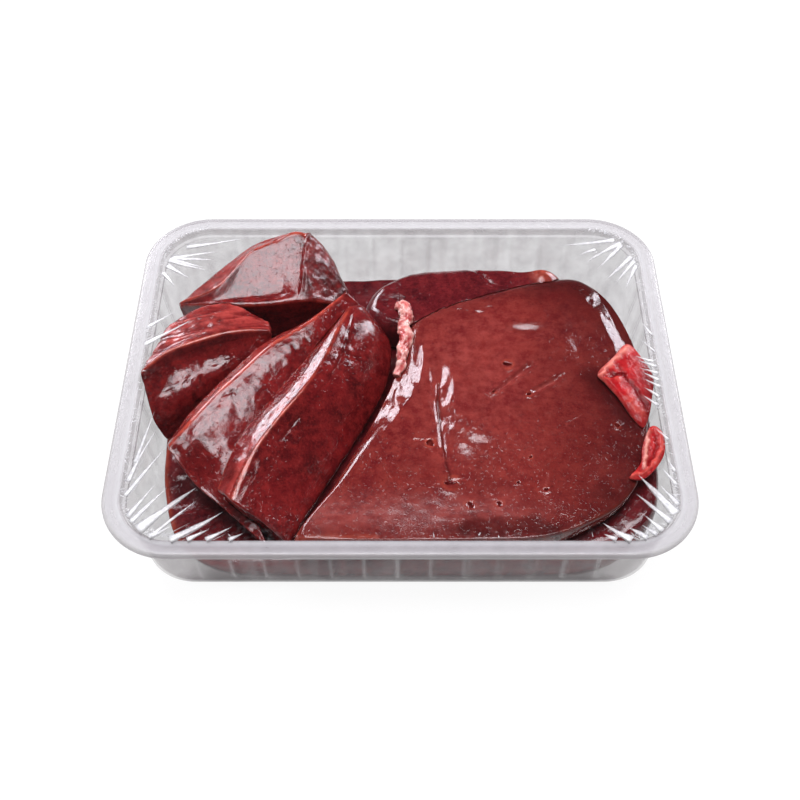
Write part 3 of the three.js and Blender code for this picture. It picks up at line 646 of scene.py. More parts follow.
def cut_piece(name):
    d = SLICES[name]
    V, F, U, Vv, R, st = loft(d["rails"], d["corner"], step=STEP)
    ob = make(name + "_wet", V, F)
    N = normals(ob)
    P = coords(ob)
    m = len(d["rails"])
    ridge = rail_distance(P, R, st, [0] if name != "slice_front" else [0, 1])
    inside = np.clip((ridge - 0.6) / 3.0, 0, 1)
    # soft swell, hand-cut waviness and small pits; none of it where two pieces meet
    lift = fbm(P, 13, 3, 5) * 0.32 + fbm(P, 4.0, 3, 9) * 0.13
    pale = np.zeros(len(P))
    # edge: paler orange along the ridge, partly the cut edge's own colour, partly painted light shining through the
    # thin edge
    edge = np.exp(-(ridge / 0.85) ** 2) * np.clip(0.62 + 0.5 * fbm(P, 7, 2, 8), 0.15, 1)
    dull = np.zeros(len(P))
    dark = np.zeros(len(P))
    drop = np.zeros(len(P))
    if name == "slice_front":
        strip = np.clip(np.minimum(U - 0.02, 0.98 - U) * 8, 0, 1) * (U < 1)
        pale = strip * (0.4 + 0.6 * np.clip((Vv - 0.35) * 2.2, 0, 1))
        crease = np.abs(U - 1.55) * 12
        groove = np.exp(-(crease / 1.0) ** 2) * (np.abs(Vv - 0.42) < 0.34) * np.clip(fbm(P, 9, 2, 77) + 0.7, 0, 1)
        lift = lift - 0.35 * groove
        # dark: painted shade in the crease and low on the side faces, down between the pieces
        dark = np.clip(groove * 0.25, 0, 1)
        dark = np.maximum(dark, np.clip((24 - P[:, 2]) / 7, 0, 1) * 0.5 * (U > 2.5) * (U < 4))
        # the strip is rounded: its outer part falls away from the light
        drop = 1.9 * np.where(U < 1, np.clip(1 - U / 0.62, 0, 1) ** 1.4, np.clip((U - 5) / 1.0, 0, 1) ** 2 * (U > 5))
        # pale: partly the strip's own paler cut colour, partly a painted highlight, stronger towards its right side and
        # lower end
        pale = strip * np.clip((U - 0.45) * 2.5, 0.2, 1) * (0.5 + 0.5 * np.clip((Vv - 0.35) * 2.2, 0, 1))
    elif name == "slice_mid":
        face = ((U > 0) & (U < 3))
        pale = np.clip(1 - ridge / 3.2, 0, 1) * 0.5 * face
        bevel = ((U > 6) | (U < 0.03))
        pale = np.maximum(pale, bevel * 0.55)
        low = rail_distance(P, R, st, [6])
        edge = np.maximum(edge, np.exp(-(low / 0.8) ** 2) * 0.4)
        cracks = np.zeros(len(P))
        for a, b in (((-63, -10), (-72, -16)), ((-68, -12), (-66, -19)), ((-45, 10), (-38, 15))):
            q, _ = seg_distance(P + np.stack([fbm(P, 2.2, 2, 3), fbm(P, 2.2, 2, 4), 0 * P[:, 0]], 1) * 0.8, a, b)
            cracks = np.maximum(cracks, np.exp(-(q / 0.35) ** 2))
        lift = lift - 0.4 * cracks * face
        # the cracks are painted darker: painted shade in the cracks
        dark = cracks * 0.5 * face
        # the face rolls over towards the front slice
        drop = 3.6 * np.clip((ridge - 6.5) / 14, 0, 1) ** 1.35 * np.clip((P[:, 2] - 17) / 14, 0, 1) * (U > 0) * (U < 4)
    elif name == "slice_left":
        top = (U > 0.03) & (U < 1.0)
        streak = fibrous(P, (1, 0.35), 31)
        lift = lift + np.where(top, streak * 0.42, 0)
        # the top is paler along its fibres: partly the fibrous cut's own colour, partly painted highlight
        pale = np.where(top, np.clip(0.6 + streak * 0.7, 0, 1), 0)
        wob = np.stack([fbm(P, 3, 2, 13), fbm(P, 3, 2, 14), 0 * P[:, 0]], 1) * 1.2
        cr = np.zeros(len(P))
        for a, b in (((-83, 0), (-86, -12)), ((-86, -3), (-92, -6)), ((-84, -7), (-88, -8))):
            cr = np.maximum(cr, np.exp(-(seg_distance(P + wob, a, b)[0] / 0.5) ** 2))
        low = (U > 3.5) & (U < 5.2)
        lift = lift - 0.5 * cr * (U > 3.5) + low * (fbm(P, 5.5, 3, 35) * 0.32 + fbm(P, 2.4, 2, 36) * 0.12)
        # the cracks are painted darker as painted shade, and a band high on the front face is darker
        dark = np.maximum(cr * 0.6 * (U > 3.5), 0.3 * (U > 5.05) * (U < 5.95))
        dull = top * 0.15
    else:
        flat = (U > 0.0) & (U < 1.0) & (Vv < 0.70)
        lift = np.where(flat, lift * 0.28, lift)
        # slightly hollow along its front edge
        drop = 1.3 * flat * (U / 0.22) * np.exp(1 - U / 0.22) * np.clip(U * 8, 0, 1) * np.clip((0.70 - Vv) * 8, 0, 1)
        dull = flat * np.clip((0.36 - Vv) * 5 + fbm(P, 6, 3, 44) * 0.4, 0, 1) * 0.8
        bevel = (U > 1.0) & (U < 2.0)
        pale = bevel * np.clip(0.75 - 0.5 * Vv, 0, 1)
        edge = np.maximum(edge * 0.4, np.exp(-(rail_distance(P, R, st, [1]) / 0.9) ** 2) * 0.8 * (Vv < 0.72))
        right = (Vv > 0.72) & (U < 3)
        rough = fbm(P, (3.2, 3.2, 2.4), 3, 41)
        seam = np.exp(-((Vv - 0.725) / 0.012) ** 2) * (U > 0.1) * (U < 1.4)
        lift = lift + right * rough * 0.22 + seam * (0.7 + rough * 0.5)
        dull = np.maximum(dull, right * 0.75)
        dark = right * np.clip(0.3 + rough * 0.4, 0, 0.6)
        pale = np.maximum(pale, right * np.clip((0.80 - Vv) * 12, 0, 1) * 0.4)
    P = P + N * (lift * inside - 0.05)[:, None]
    P[:, 2] -= drop
    place(ob, P)
    attribute(ob, "pale", pale)
    attribute(ob, "edge", edge)
    attribute(ob, "dull", dull)
    attribute(ob, "dark", dark)
    return ob


def zero_attributes(ob, *names):
    for n in names:
        attribute(ob, n, np.zeros(len(ob.data.vertices)))


# ---------------------------------------------------------------- slabs
BIG = [
    [-40, -77, 30, 6, 5], [-27, -55, 30, 8, 5], [-14, -29, 31, 8, 5], [-5, -8, 32, 8, 5], [1, 12, 32, 7, 5],
    [5, 29, 32, 7, 5], [22, 41, 32.5, 9, 5], [44, 49, 33, 10, 5], [62, 54.5, 33, 10, 5], [79, 56, 33, 9, 5],
    [91, 43, 33, 9, 4], [98.5, 20, 33.5, 8, 3], [101, -2, 34, 6, 3], [99.5, -27, 34.5, 2.6, 2.5], [96, -43, 34.8, 2, 2.5],
    [89.5, -58, 34.8, 1.8, 2.5], [76, -70, 34.8, 1.1, 2.5], [50, -79.4, 34.8, 0.6, 3], [5, -80.0, 34.8, 0.6, 4], [-30, -79.4, 34, 1.0, 5]]
GROOVE = [(16.2, -7), (15.4, -15), (15.7, -23), (16.8, -34), (18.1, -45), (19.2, -54.5)]


def big_top(x, y):
    dx, dy = (x - 36) / 66, (y + 14) / 68
    dy = np.maximum(dy, -0.45 + 0.35 * (dy + 0.45))
    return (38.0 - 1.5 * (dx * dx + dy * dy) + 0.35 * np.sin(x / 9 + 1) * np.sin(y / 11)
            - 0.014 * np.maximum(0, -18 - y))


def hole_cutter(x, y, length, width, angle, depth, z):
    """Slanted teardrop that opens a vessel in the slab's skin."""
    bm = bmesh.new()
    bmesh.ops.create_icosphere(bm, subdivisions=3, radius=1.0)
    c, s = math.cos(angle), math.sin(angle)
    for v in bm.verts:
        px, py, pz = v.co
        px = px * length / 2 * (1 + 0.25 * py)
        py = py * width / 2 * (1 - 0.35 * px / (length / 2))
        pz = pz * depth
        py += pz * 0.3
        v.co = Vector(((x + px * c - py * s) * MM, (y + px * s + py * c) * MM, (z + pz) * MM))
    me = bpy.data.meshes.new("cutter")
    bm.to_mesh(me)
    bm.free()
    ob = bpy.data.objects.new("cutter", me)
    bpy.context.scene.collection.objects.link(ob)
    return ob


def big_slab():
    segs = 500
    V, F, dep = pillow(BIG, segs, [36, -14], big_top, lambda x, y: trough(x, y) + 0.8, 100, 14, 14)
    ob = make("liver_slab_wet", V, F)
    P, N = coords(ob), normals(ob)
    up = N[:, 2] > 0.1
    calm = 1.0 - 0.75 * np.exp(-((P[:, 1] + 8) / 26) ** 4) * (P[:, 0] < 14) - 0.85 * np.clip((-38 - P[:, 1]) / 14, 0, 1)
    soft = fbm(P, 22, 2, 3) * (0.35 - 0.22 * np.clip((-30 - P[:, 1]) / 20, 0, 1)) + (fbm(P, 9, 2, 21) * 0.16 + fbm(P, 3.2, 2, 22) * 0.06) * calm
    wavy = fbm(P, (3, 7, 5), 2, 23)
    g = path_distance(P + np.stack([wavy * 0.5, 0 * wavy, 0 * wavy], 1), GROOVE)
    side = P[:, 0] - 15.6 - np.clip((-15 - P[:, 1]) * 0.08, 0, 4) + wavy * 0.7
    along = np.exp(-((P[:, 1] + 16) / 22) ** 4)
    bank = np.interp(side, [-4, 0, 0.8, 6.2, 8.5, 22], [0, -0.9, -0.75, 1.2, 1.35, 0])
    lift = soft - np.where(P[:, 1] > -26, 1.0, 0.45) * np.exp(-(g / 0.6) ** 2) + bank * along
    # the margin by the slices slopes off evenly, and so does the back right one
    slope = np.minimum(P[:, 2], big_top(P[:, 0], P[:, 1]) - 0.40 * np.clip(10.5 + wavy - dep, 0, 99))
    margin = np.exp(-((P[:, 1] + 8) / 23) ** 4) * (P[:, 0] < 26)
    slope2 = np.minimum(P[:, 2], big_top(P[:, 0], P[:, 1]) - 0.36 * np.clip(9 + wavy - dep, 0, 99))
    margin2 = np.exp(-((P[:, 1] - 30) / 18) ** 4) * (P[:, 0] > 66)
    P[:, 2] = np.where(up, P[:, 2] + (slope - P[:, 2]) * margin + (slope2 - P[:, 2]) * margin2, P[:, 2])
    # two scored lines and a few shallow scratches
    slits = [((39.4, -10.7), (55.2, 4.2), 0.95), ((53.4, -11.7), (67.6, -1.7), 1.0), ((36, -13.5), (40, -10), 0.3),
             ((5.5, -34), (11, -35.5), 0.35), ((20, -55), (26, -53), 0.3), ((66, -28), (74, -22), 0.25), ((27, -60), (33, -66), 0.25),
             ((56, -58), (57.5, -50), 0.4), ((38, -64), (34, -60), 0.3)]
    wob = np.stack([fbm(P, 2.5, 2, 61), fbm(P, 2.5, 2, 62), 0 * P[:, 0]], 1) * 0.5
    scratch = np.zeros(len(P))
    for a, b, w in slits:
        q, t = seg_distance(P + wob, a, b)
        s = np.exp(-(q / (w * 0.9)) ** 2) * np.sin(np.clip(t, 0.04, 0.96) * math.pi) ** 0.5
        scratch = np.maximum(scratch, s)
        lift = lift - (0.45 + 0.4 * (w > 0.6)) * s + 0.16 * np.exp(-((q - w * 2) / 0.6) ** 2) * (t > 0.02) * (t < 0.98)
    # dents near the back edge and the rougher patch towards the front
    lift = lift - 1.15 * np.exp(-((P[:, 0] - 54) / 10) ** 2 - ((P[:, 1] - 22.5) / 3.4) ** 2)
    front = np.exp(-((P[:, 1] + 68) / 9) ** 2) * np.clip((60 - P[:, 0]) / 20, 0, 1)
    lift = lift + front * fbm(P, (2.6, 2.0, 3), 2, 71) * 0.07
    backl = np.exp(-((P[:, 0] - 24) / 14) ** 2 - ((P[:, 1] - 36) / 4) ** 2)
    lift = lift + backl * fbm(P, (4, 1.6, 2), 3, 72) * 0.75
    holes = [(44.7, 3.4, 4.0, 1.7, -0.2), (12.0, -36.4, 3.4, 2.6, -1.0), (19.6, -55.2, 5.2, 1.5, 0.1), (86.9, -27.8, 2.2, 2.2, 0),
             (45.6, -54.9, 1.3, 1.0, 0), (56.2, -58.1, 1.7, 1.1, 0.4), (26.8, -65.0, 1.6, 3.2, 0.3), (37.8, -64.5, 1.3, 2.6, 0.2),
             (51.3, -43.0, 1.6, 0.9, 0.5), (38.6, -11.3, 1.6, 0.9, 0.7), (52.6, -12.2, 2.2, 1.0, 0.6)]
    near = np.zeros(len(P))
    for x, y, a, b, _ in holes:
        q = np.hypot(P[:, 0] - x, P[:, 1] - y) / (max(a, b) * 0.5)
        near = np.maximum(near, np.exp(-((q - 1.15) / 0.35) ** 2))
        lift = lift + 0.18 * np.exp(-((q - 1.5) / 0.5) ** 2)
    fade = np.clip(dep / 2.5, 0, 1)
    P2 = P + np.stack([0 * P[:, 0], 0 * P[:, 0], np.where(up, lift * fade, 0)], 1)
    P2[:, 2] = np.where(up, np.maximum(P2[:, 2], trough(P[:, 0], P[:, 1]) + 4), P2[:, 2])
    place(ob, P2)
    # edge: lighter edge colour, partly the cut edge's own paler tissue, partly painted light along the thin front-right
    # edge, the front-left margin and the back edge; also round the vessel holes
    thin = (P[:, 0] > 50) & (P[:, 1] < 10)
    edge = np.exp(-((dep - 0.4) / 0.8) ** 2) * np.where(thin, 0.9, 0.25) * (N[:, 2] > -0.3)
    leftm = (P[:, 0] < -8) & (P[:, 1] < -40)
    edge = np.maximum(edge, np.exp(-((dep - 1.5) / 1.6) ** 2) * leftm * 0.9)
    behind = np.exp(-(dep / 1.3) ** 2) * (P[:, 1] > 26) * 0.4
    attribute(ob, "edge", np.maximum(np.maximum(edge, behind), near * 0.5))
    # pale: the pink insides of the scores, a paler middle and random paler patches, and a painted sheen over the front
    # patch
    middle = np.exp(-((P[:, 0] - 30) / 34) ** 2 - ((P[:, 1] + 2) / 44) ** 2)
    attribute(ob, "pale", np.maximum(front * 0.4 + scratch * 0.9, middle * 0.28 + np.clip(fbm(P, 14, 2, 90) - 0.1, 0, 1) * 0.15))
    # dark: darker towards the back, the right and the front, in the deep-red wet patch and in random blotches; painted
    # shade in the groove and on the rolled-off rim, and a painted shade band along the flap's edge where it lies on the
    # slab
    back = np.clip((P[:, 1] - 30) / 20, 0, 1)
    rim = np.clip(1 - dep / 13, 0, 1)
    right = np.clip((P[:, 0] - 44) / 36, 0, 1)
    front_dim = np.clip((-34 - P[:, 1]) / 30, 0, 1)
    ragged = np.exp(-((P[:, 0] - 37) / 25) ** 4 - ((P[:, 1] + 75) / 6) ** 2)
    ragged = np.clip(ragged * 2.6 - 1.0 + fbm(P, (2.4, 5, 4), 3, 96) * 0.8, 0, 1)
    painted_shade_by_flap = np.exp(-(seg_distance(P, (82, -4), (92, -22))[0] / 6.5) ** 2)
    blotch = np.clip(fbm(P, 9, 3, 97) * 0.8, 0, 1) * 0.22
    attribute(ob, "dark", np.clip(back * 0.3 + np.maximum(right * 0.5, front_dim * 0.12) + rim * 0.3 + np.exp(-(g / 0.5) ** 2) * 0.7
                                  + ragged * 0.45 + painted_shade_by_flap * 0.4 + blotch, 0, 0.9))
    attribute(ob, "dull", np.clip(front * 0.5 * (1 - ragged), 0, 0.9))
    cutters = [hole_cutter(x, y, a, b, r, 2.6, 37.6) for x, y, a, b, r in holes]
    return ob, cutters


def back_lobe():
    out = [
        [-15, 37, 27, 6, 5], [-13, 49, 27, 6, 5], [-4, 57, 28, 7, 5], [10, 62.5, 29, 8, 5], [28, 64, 29, 8, 5],
        [46, 62.5, 30, 7, 5], [58, 61, 32, 5, 4], [68, 60.5, 33, 4, 4], [72, 54, 31, 4, 4], [64, 44, 26, 6, 4],
        [40, 36, 24, 6, 4], [14, 28, 24, 5, 4], [-4, 27, 24, 5, 4]]

    def top(x, y):
        return (34.6 + 1.4 * np.cos((x - 20) / 26) + 2.2 * np.exp(-((x - 64) ** 2 + (y - 58) ** 2) / 26)
                - 0.06 * np.maximum(0, -x))

    V, F, dep = pillow(out, 220, [22, 47], top, lambda x, y: trough(x, y) + 0.8, 40, 10, 8)
    ob = make("liver_lobe_back_wet", V, F)
    P, N = coords(ob), normals(ob)
    lift = fbm(P, 12, 3, 15) * 0.4 - 0.7 * np.exp(-((P[:, 0] - 38 + (P[:, 1] - 55) * 0.8) / 1.4) ** 2) * (P[:, 1] > 50)
    lift = lift - 1.1 * np.exp(-((P[:, 0] + 1.5) / 9) ** 2 - ((P[:, 1] - 42.5) / 3.6) ** 2)
    P = P + N * (lift * np.clip(dep / 3, 0, 1))[:, None]
    place(ob, P)
    bump = np.exp(-((P[:, 0] - 64) / 6) ** 2 - ((P[:, 1] - 58) / 5) ** 2)
    attribute(ob, "edge", np.maximum(np.clip(bump * 1.2 - 0.2, 0, 1), np.exp(-((dep - 1.0) / 1.0) ** 2) * 0.35 * (P[:, 1] > 55)))
    attribute(ob, "pale", bump * 0.4)
    attribute(ob, "dull", np.clip(1 - dep / 7, 0, 1) * (P[:, 0] < 2) * 0.9)
    zero_attributes(ob, "dark")
    return ob


def base_slab():
    out = [
        [-99.5, -18, 8, 6, 6], [-97, -41, 8, 6, 6], [-89, -64, 8, 6, 6], [-72, -76.4, 8, 5, 4], [-40, -78.2, 8, 5, 2.2],
        [0, -78.4, 8, 5, 2.2], [45, -78.4, 9, 5, 2.2], [78, -76.8, 12, 5, 4], [95, -66, 20, 4, 8], [101, -48, 22, 4, 9],
        [101.4, -20, 23, 4, 9], [100.6, 10, 22, 4, 9], [96, 38, 20, 5, 9], [80, 60, 17, 6, 8], [45, 69, 14, 6, 7],
        [0, 72.5, 12, 5, 6], [-45, 73.5, 10, 5, 6], [-80, 66, 8, 6, 6], [-95, 44, 8, 6, 6], [-99.8, 10, 8, 6, 6]]
    V, F, dep = pillow(out, 380, [0, -2], lambda x, y: trough(x, y) + 0.35 * np.sin(x / 17) * np.cos(y / 14),
                       lambda x, y: FLOOR + 0 * x, 60, 9, 8, lean=DRAFT_X)
    ob = make("liver_base_wet", V, F)
    P, N = coords(ob), normals(ob)
    up = N[:, 2] > 0.0
    lift = fbm(P, 14, 3, 25) * 0.5 + fbm(P, 3.5, 3, 26) * 0.12
    P = P + N * (np.where(up, lift, np.minimum(lift, 0)) * np.clip(dep / 3, 0.25, 1))[:, None]
    P[:, 2] = np.maximum(P[:, 2], FLOOR)
    place(ob, P)
    attribute(ob, "edge", np.exp(-((dep - 0.8) / 1.2) ** 2) * ((P[:, 1] > 60) | (P[:, 0] < -80)) * 0.7 * (N[:, 2] > 0))
    # the face towards the front wall is painted paler, as painted light on that side
    attribute(ob, "pale", 0.6 * (N[:, 1] < -0.5) * (P[:, 1] < -70))
    zero_attributes(ob, "dark", "dull")
    return ob


# ---------------------------------------------------------------- vessels
def strip_left():
    V, F = cord([
        [-1.4, 38, 36.2, 2.2], [1.8, 36, 37.1, 3.1], [2.8, 30.5, 37.2, 2.9], [1.2, 26, 36.8, 2.7], [2.4, 20, 36.6, 3.1],
        [1.4, 13, 36.2, 2.7], [0.4, 6, 35.4, 2.2], [-1.6, 0, 34.4, 1.6]], 130, 52)
    ob = make("vessel_strip_left_wet", V, F)
    P, N = coords(ob), normals(ob)
    lump = fbm(P, 3.0, 3, 51)
    clump = fbm(P, (1.9, 3.4, 2.0), 2, 53)
    P = P + N * (lump * 0.5 + clump * 0.35 + fbm(P, 1.2, 2, 52) * 0.16 - 0.2)[:, None]
    place(ob, P)
    attribute(ob, "pale", np.clip(0.5 + lump * 0.6 + clump * 0.8, 0, 1))
    attribute(ob, "edge", np.clip(lump - 0.2, 0, 1))
    # dark: painted shade low on the cord and in the hollows between its lumps
    attribute(ob, "dark", np.clip(np.clip((33.5 - P[:, 2]) / 3, 0, 1) * 0.4 + np.clip(-lump * 0.9 - 0.2, 0, 0.25), 0, 1))
    zero_attributes(ob, "dull")
    return ob


def flap_right():
    out = [
        [95.7, 14, 38.7, 0.9, 0.9], [88.5, 6, 39, 0.9, 0.9], [81.4, -2.6, 39.3, 0.9, 0.9], [84, -8, 39.2, 0.9, 0.9],
        [88.3, -15, 39.1, 0.9, 0.9], [93, -24.5, 38.2, 0.9, 0.9], [97, -29, 37.4, 0.9, 0.9], [100, -23.5, 38, 0.9, 0.9],
        [102.6, -14, 37.6, 0.9, 0.9], [104.2, -4, 38.5, 0.9, 0.9], [101.3, 6, 38.4, 0.9, 0.9]]

    def top(x, y):
        return 40.1 - 0.003 * (y + 5) ** 2 - 0.16 * np.maximum(0, x - 94)

    V, F, dep = pillow(out, 230, [93.5, -5], top, lambda x, y: top(x, y) - 1.5, 52, 8, 30)
    ob = make("vessel_flap_right_wet", V, F)
    P, N = coords(ob), normals(ob)
    wob = np.stack([fbm(P, 4, 2, 83), fbm(P, 4, 2, 84), 0 * P[:, 0]], 1)
    Q = P + wob * 1.1
    crest1 = path_distance(Q, [(95.5, 12), (88.5, 4.4), (83, -2.8)])
    crest2 = path_distance(Q, [(84, -5), (88.4, -9), (92, -15.5), (95, -21), (97, -27)])
    crease = path_distance(Q, [(85.5, -4.6), (91.3, -3), (97, -12), (99.4, -19.5)])
    pit = path_distance(Q, [(90.5, 0.5), (92.5, -4.5)])
    s = fibrous(P, (0.5, -1), 81)
    fold = fbm(P, (5, 8, 6), 3, 82)
    c1, c2 = np.exp(-(crest1 / 1.5) ** 2), np.exp(-(crest2 / 2.6) ** 2)
    k, k2 = np.exp(-(crease / 1.1) ** 2), np.exp(-(pit / 1.0) ** 2)
    d = 0.55 * c1 + 0.95 * c2 - 0.9 * k - 0.6 * k2 + fold * 0.2 + s * 0.06
    P = P + np.stack([0 * d, 0 * d, d * np.clip(dep / 1.5, 0.2, 1)], 1)
    place(ob, P)
    right = np.clip((P[:, 0] - 95 - (P[:, 1] + 5) * 0.12) / 6, 0, 1)
    attribute(ob, "pale", np.clip(0.75 * c1 + c2 * np.clip(0.15 + fold, 0, 0.55) - k + s * 0.1, 0, 1))
    attribute(ob, "edge", np.clip(c1 * 0.35 + np.exp(-(dep / 0.7) ** 2) * 0.1 * (1 - right), 0, 1))
    # dark: painted shade in the crease, the pit, beside the lower crest and on the right side, where it turns down
    attribute(ob, "dark", np.clip(0.75 * k + 0.6 * k2 + right * 0.5 + 0.35 * np.exp(-((crest2 - 4) / 1.4) ** 2) - c1, 0, 0.8))
    zero_attributes(ob, "dull")
    return ob


def loop_right():
    out = [
        [98.6, -30.7, 38, 0.9, 0.9], [101.2, -28.6, 38.2, 0.9, 0.9], [103.8, -31, 38.2, 0.9, 0.9], [104.7, -36, 38.1, 0.9, 0.9],
        [103.2, -43, 37.9, 0.9, 0.9], [98.5, -50, 37.8, 0.9, 0.9], [93.5, -54, 37.7, 0.9, 0.9], [88.7, -53.4, 37.6, 0.9, 0.9],
        [91.2, -50.2, 37.7, 0.9, 0.9], [94, -45.8, 37.8, 0.9, 0.9], [95.3, -39, 37.9, 0.9, 0.9]]
    V, F, dep = pillow(out, 200, [98.2, -43.4], lambda x, y: 38.5 + 0.02 * (y + 44), lambda x, y: 37 + 0.02 * (y + 44), 36, 8, 20)
    ob = make("vessel_loop_right_wet", V, F)
    P, N = coords(ob), normals(ob)
    wob = np.stack([fbm(P, 3, 2, 93), fbm(P, 3, 2, 94), 0 * P[:, 0]], 1) * 0.6
    rim = path_distance(P + wob, [(99, -31.5), (101.3, -29.8), (103.2, -32), (103.6, -37), (101.6, -43), (97.6, -48.8), (93, -52.2), (89.5, -52.3)])
    left = path_distance(P + wob, [(98.8, -32), (96.6, -39.5), (95.4, -46), (94.6, -49)])
    crease = path_distance(P + wob, [(101, -34), (101.4, -38), (99, -44), (96.6, -47.5)])
    lump = fbm(P, 2.4, 3, 91)
    c = np.maximum(np.exp(-(rim / 1.0) ** 2), np.exp(-(left / 0.9) ** 2) * 0.9)
    k = np.exp(-(crease / 0.7) ** 2)
    d = (0.75 * c - 0.55 * k + lump * 0.18 - 0.1) * np.where(N[:, 2] > 0, 1, 0)
    P = P + np.stack([0 * d, 0 * d, d * np.clip(dep / 0.9, 0.2, 1)], 1)
    place(ob, P)
    attribute(ob, "pale", np.clip(c * 0.65 + lump * 0.2, 0, 1))
    attribute(ob, "edge", np.exp(-(left / 0.7) ** 2) * 0.7)
    # dark: painted shade in the crease
    attribute(ob, "dark", np.clip(k * 0.6, 0, 1))
    zero_attributes(ob, "dull")
    return ob


# ---------------------------------------------------------------- tray
def rounded(hx, hy, r, nx, ny, nc):
    """Rounded rectangle from the front-left, counter-clockwise, and the outward direction at each point."""
    pts, out = [], []
    for sx, sy, n, ax in ((0, -1, nx, 0), (1, 0, ny, 1), (0, 1, nx, 0), (-1, 0, ny, 1)):
        t = np.linspace(-1, 1, n, endpoint=False)
        if ax == 0:
            x = t * (hx - r) * (-sy)
            pts.append(np.stack([x, np.full(n, sy * hy)], 1))
            cx, cy, a0 = (hx - r) * (-sy), sy * (hy - r), (-0.5 if sy < 0 else 0.5) * math.pi
        else:
            y = t * (hy - r) * sx
            pts.append(np.stack([np.full(n, sx * hx), y], 1))
            cx, cy, a0 = sx * (hx - r), (hy - r) * sx, (0.0 if sx > 0 else 1.0) * math.pi
        out.append(np.tile([sx, sy], (n, 1)).astype(float))
        a = a0 + np.linspace(0, 0.5, nc, endpoint=False) * math.pi
        d = np.stack([np.cos(a), np.sin(a)], 1)
        pts.append(np.array([cx, cy]) + r * d)
        out.append(d)
    return np.concatenate(pts), np.concatenate(out)


def rib_depth(p, d):
    """Outward bump of the wall's upright ribs at plan points p facing d."""
    along = np.where(np.abs(d[:, 1]) > 0.999, p[:, 0], p[:, 1])
    count = np.where(np.abs(d[:, 1]) > 0.999, 6, 4)
    k = np.clip(np.round(along / RIB_PITCH), -count, count)
    q = np.abs(along - k * RIB_PITCH) / (RIB_HALF * 1.12)
    flat = np.maximum(np.abs(d[:, 0]), np.abs(d[:, 1])) > 0.999
    return np.where(flat & (q < 1), RIB_D * np.minimum(1, 1.15 * (0.5 + 0.5 * np.cos(np.clip(q, 0, 1) * math.pi))), 0)


# how milky the flange is, and how pale its painted highlight lines and darker painted shade lines are, at each distance
# in from its edge, mm
RIM_VEIL = ([0, 0.35, 0.8, 1.5, 2.4, 4.0, 5.3, 5.9, 6.5, 6.95, 7.3, 7.6], [1.0, 0.7, 0.5, 0.56, 0.46, 0.42, 0.48, 0.63, 0.46, 0.5, 0.7, 0.35])
RIM_PAINTED_LIGHT = ([0, 0.35, 0.8, 1.5, 2.4, 4.0, 5.3, 5.9, 6.5, 6.95, 7.3, 7.6], [0.45, 0.65, 0.7, 0.78, 0.7, 0.68, 0.76, 1.0, 0.65, 0.5, 0.45, 0.4])


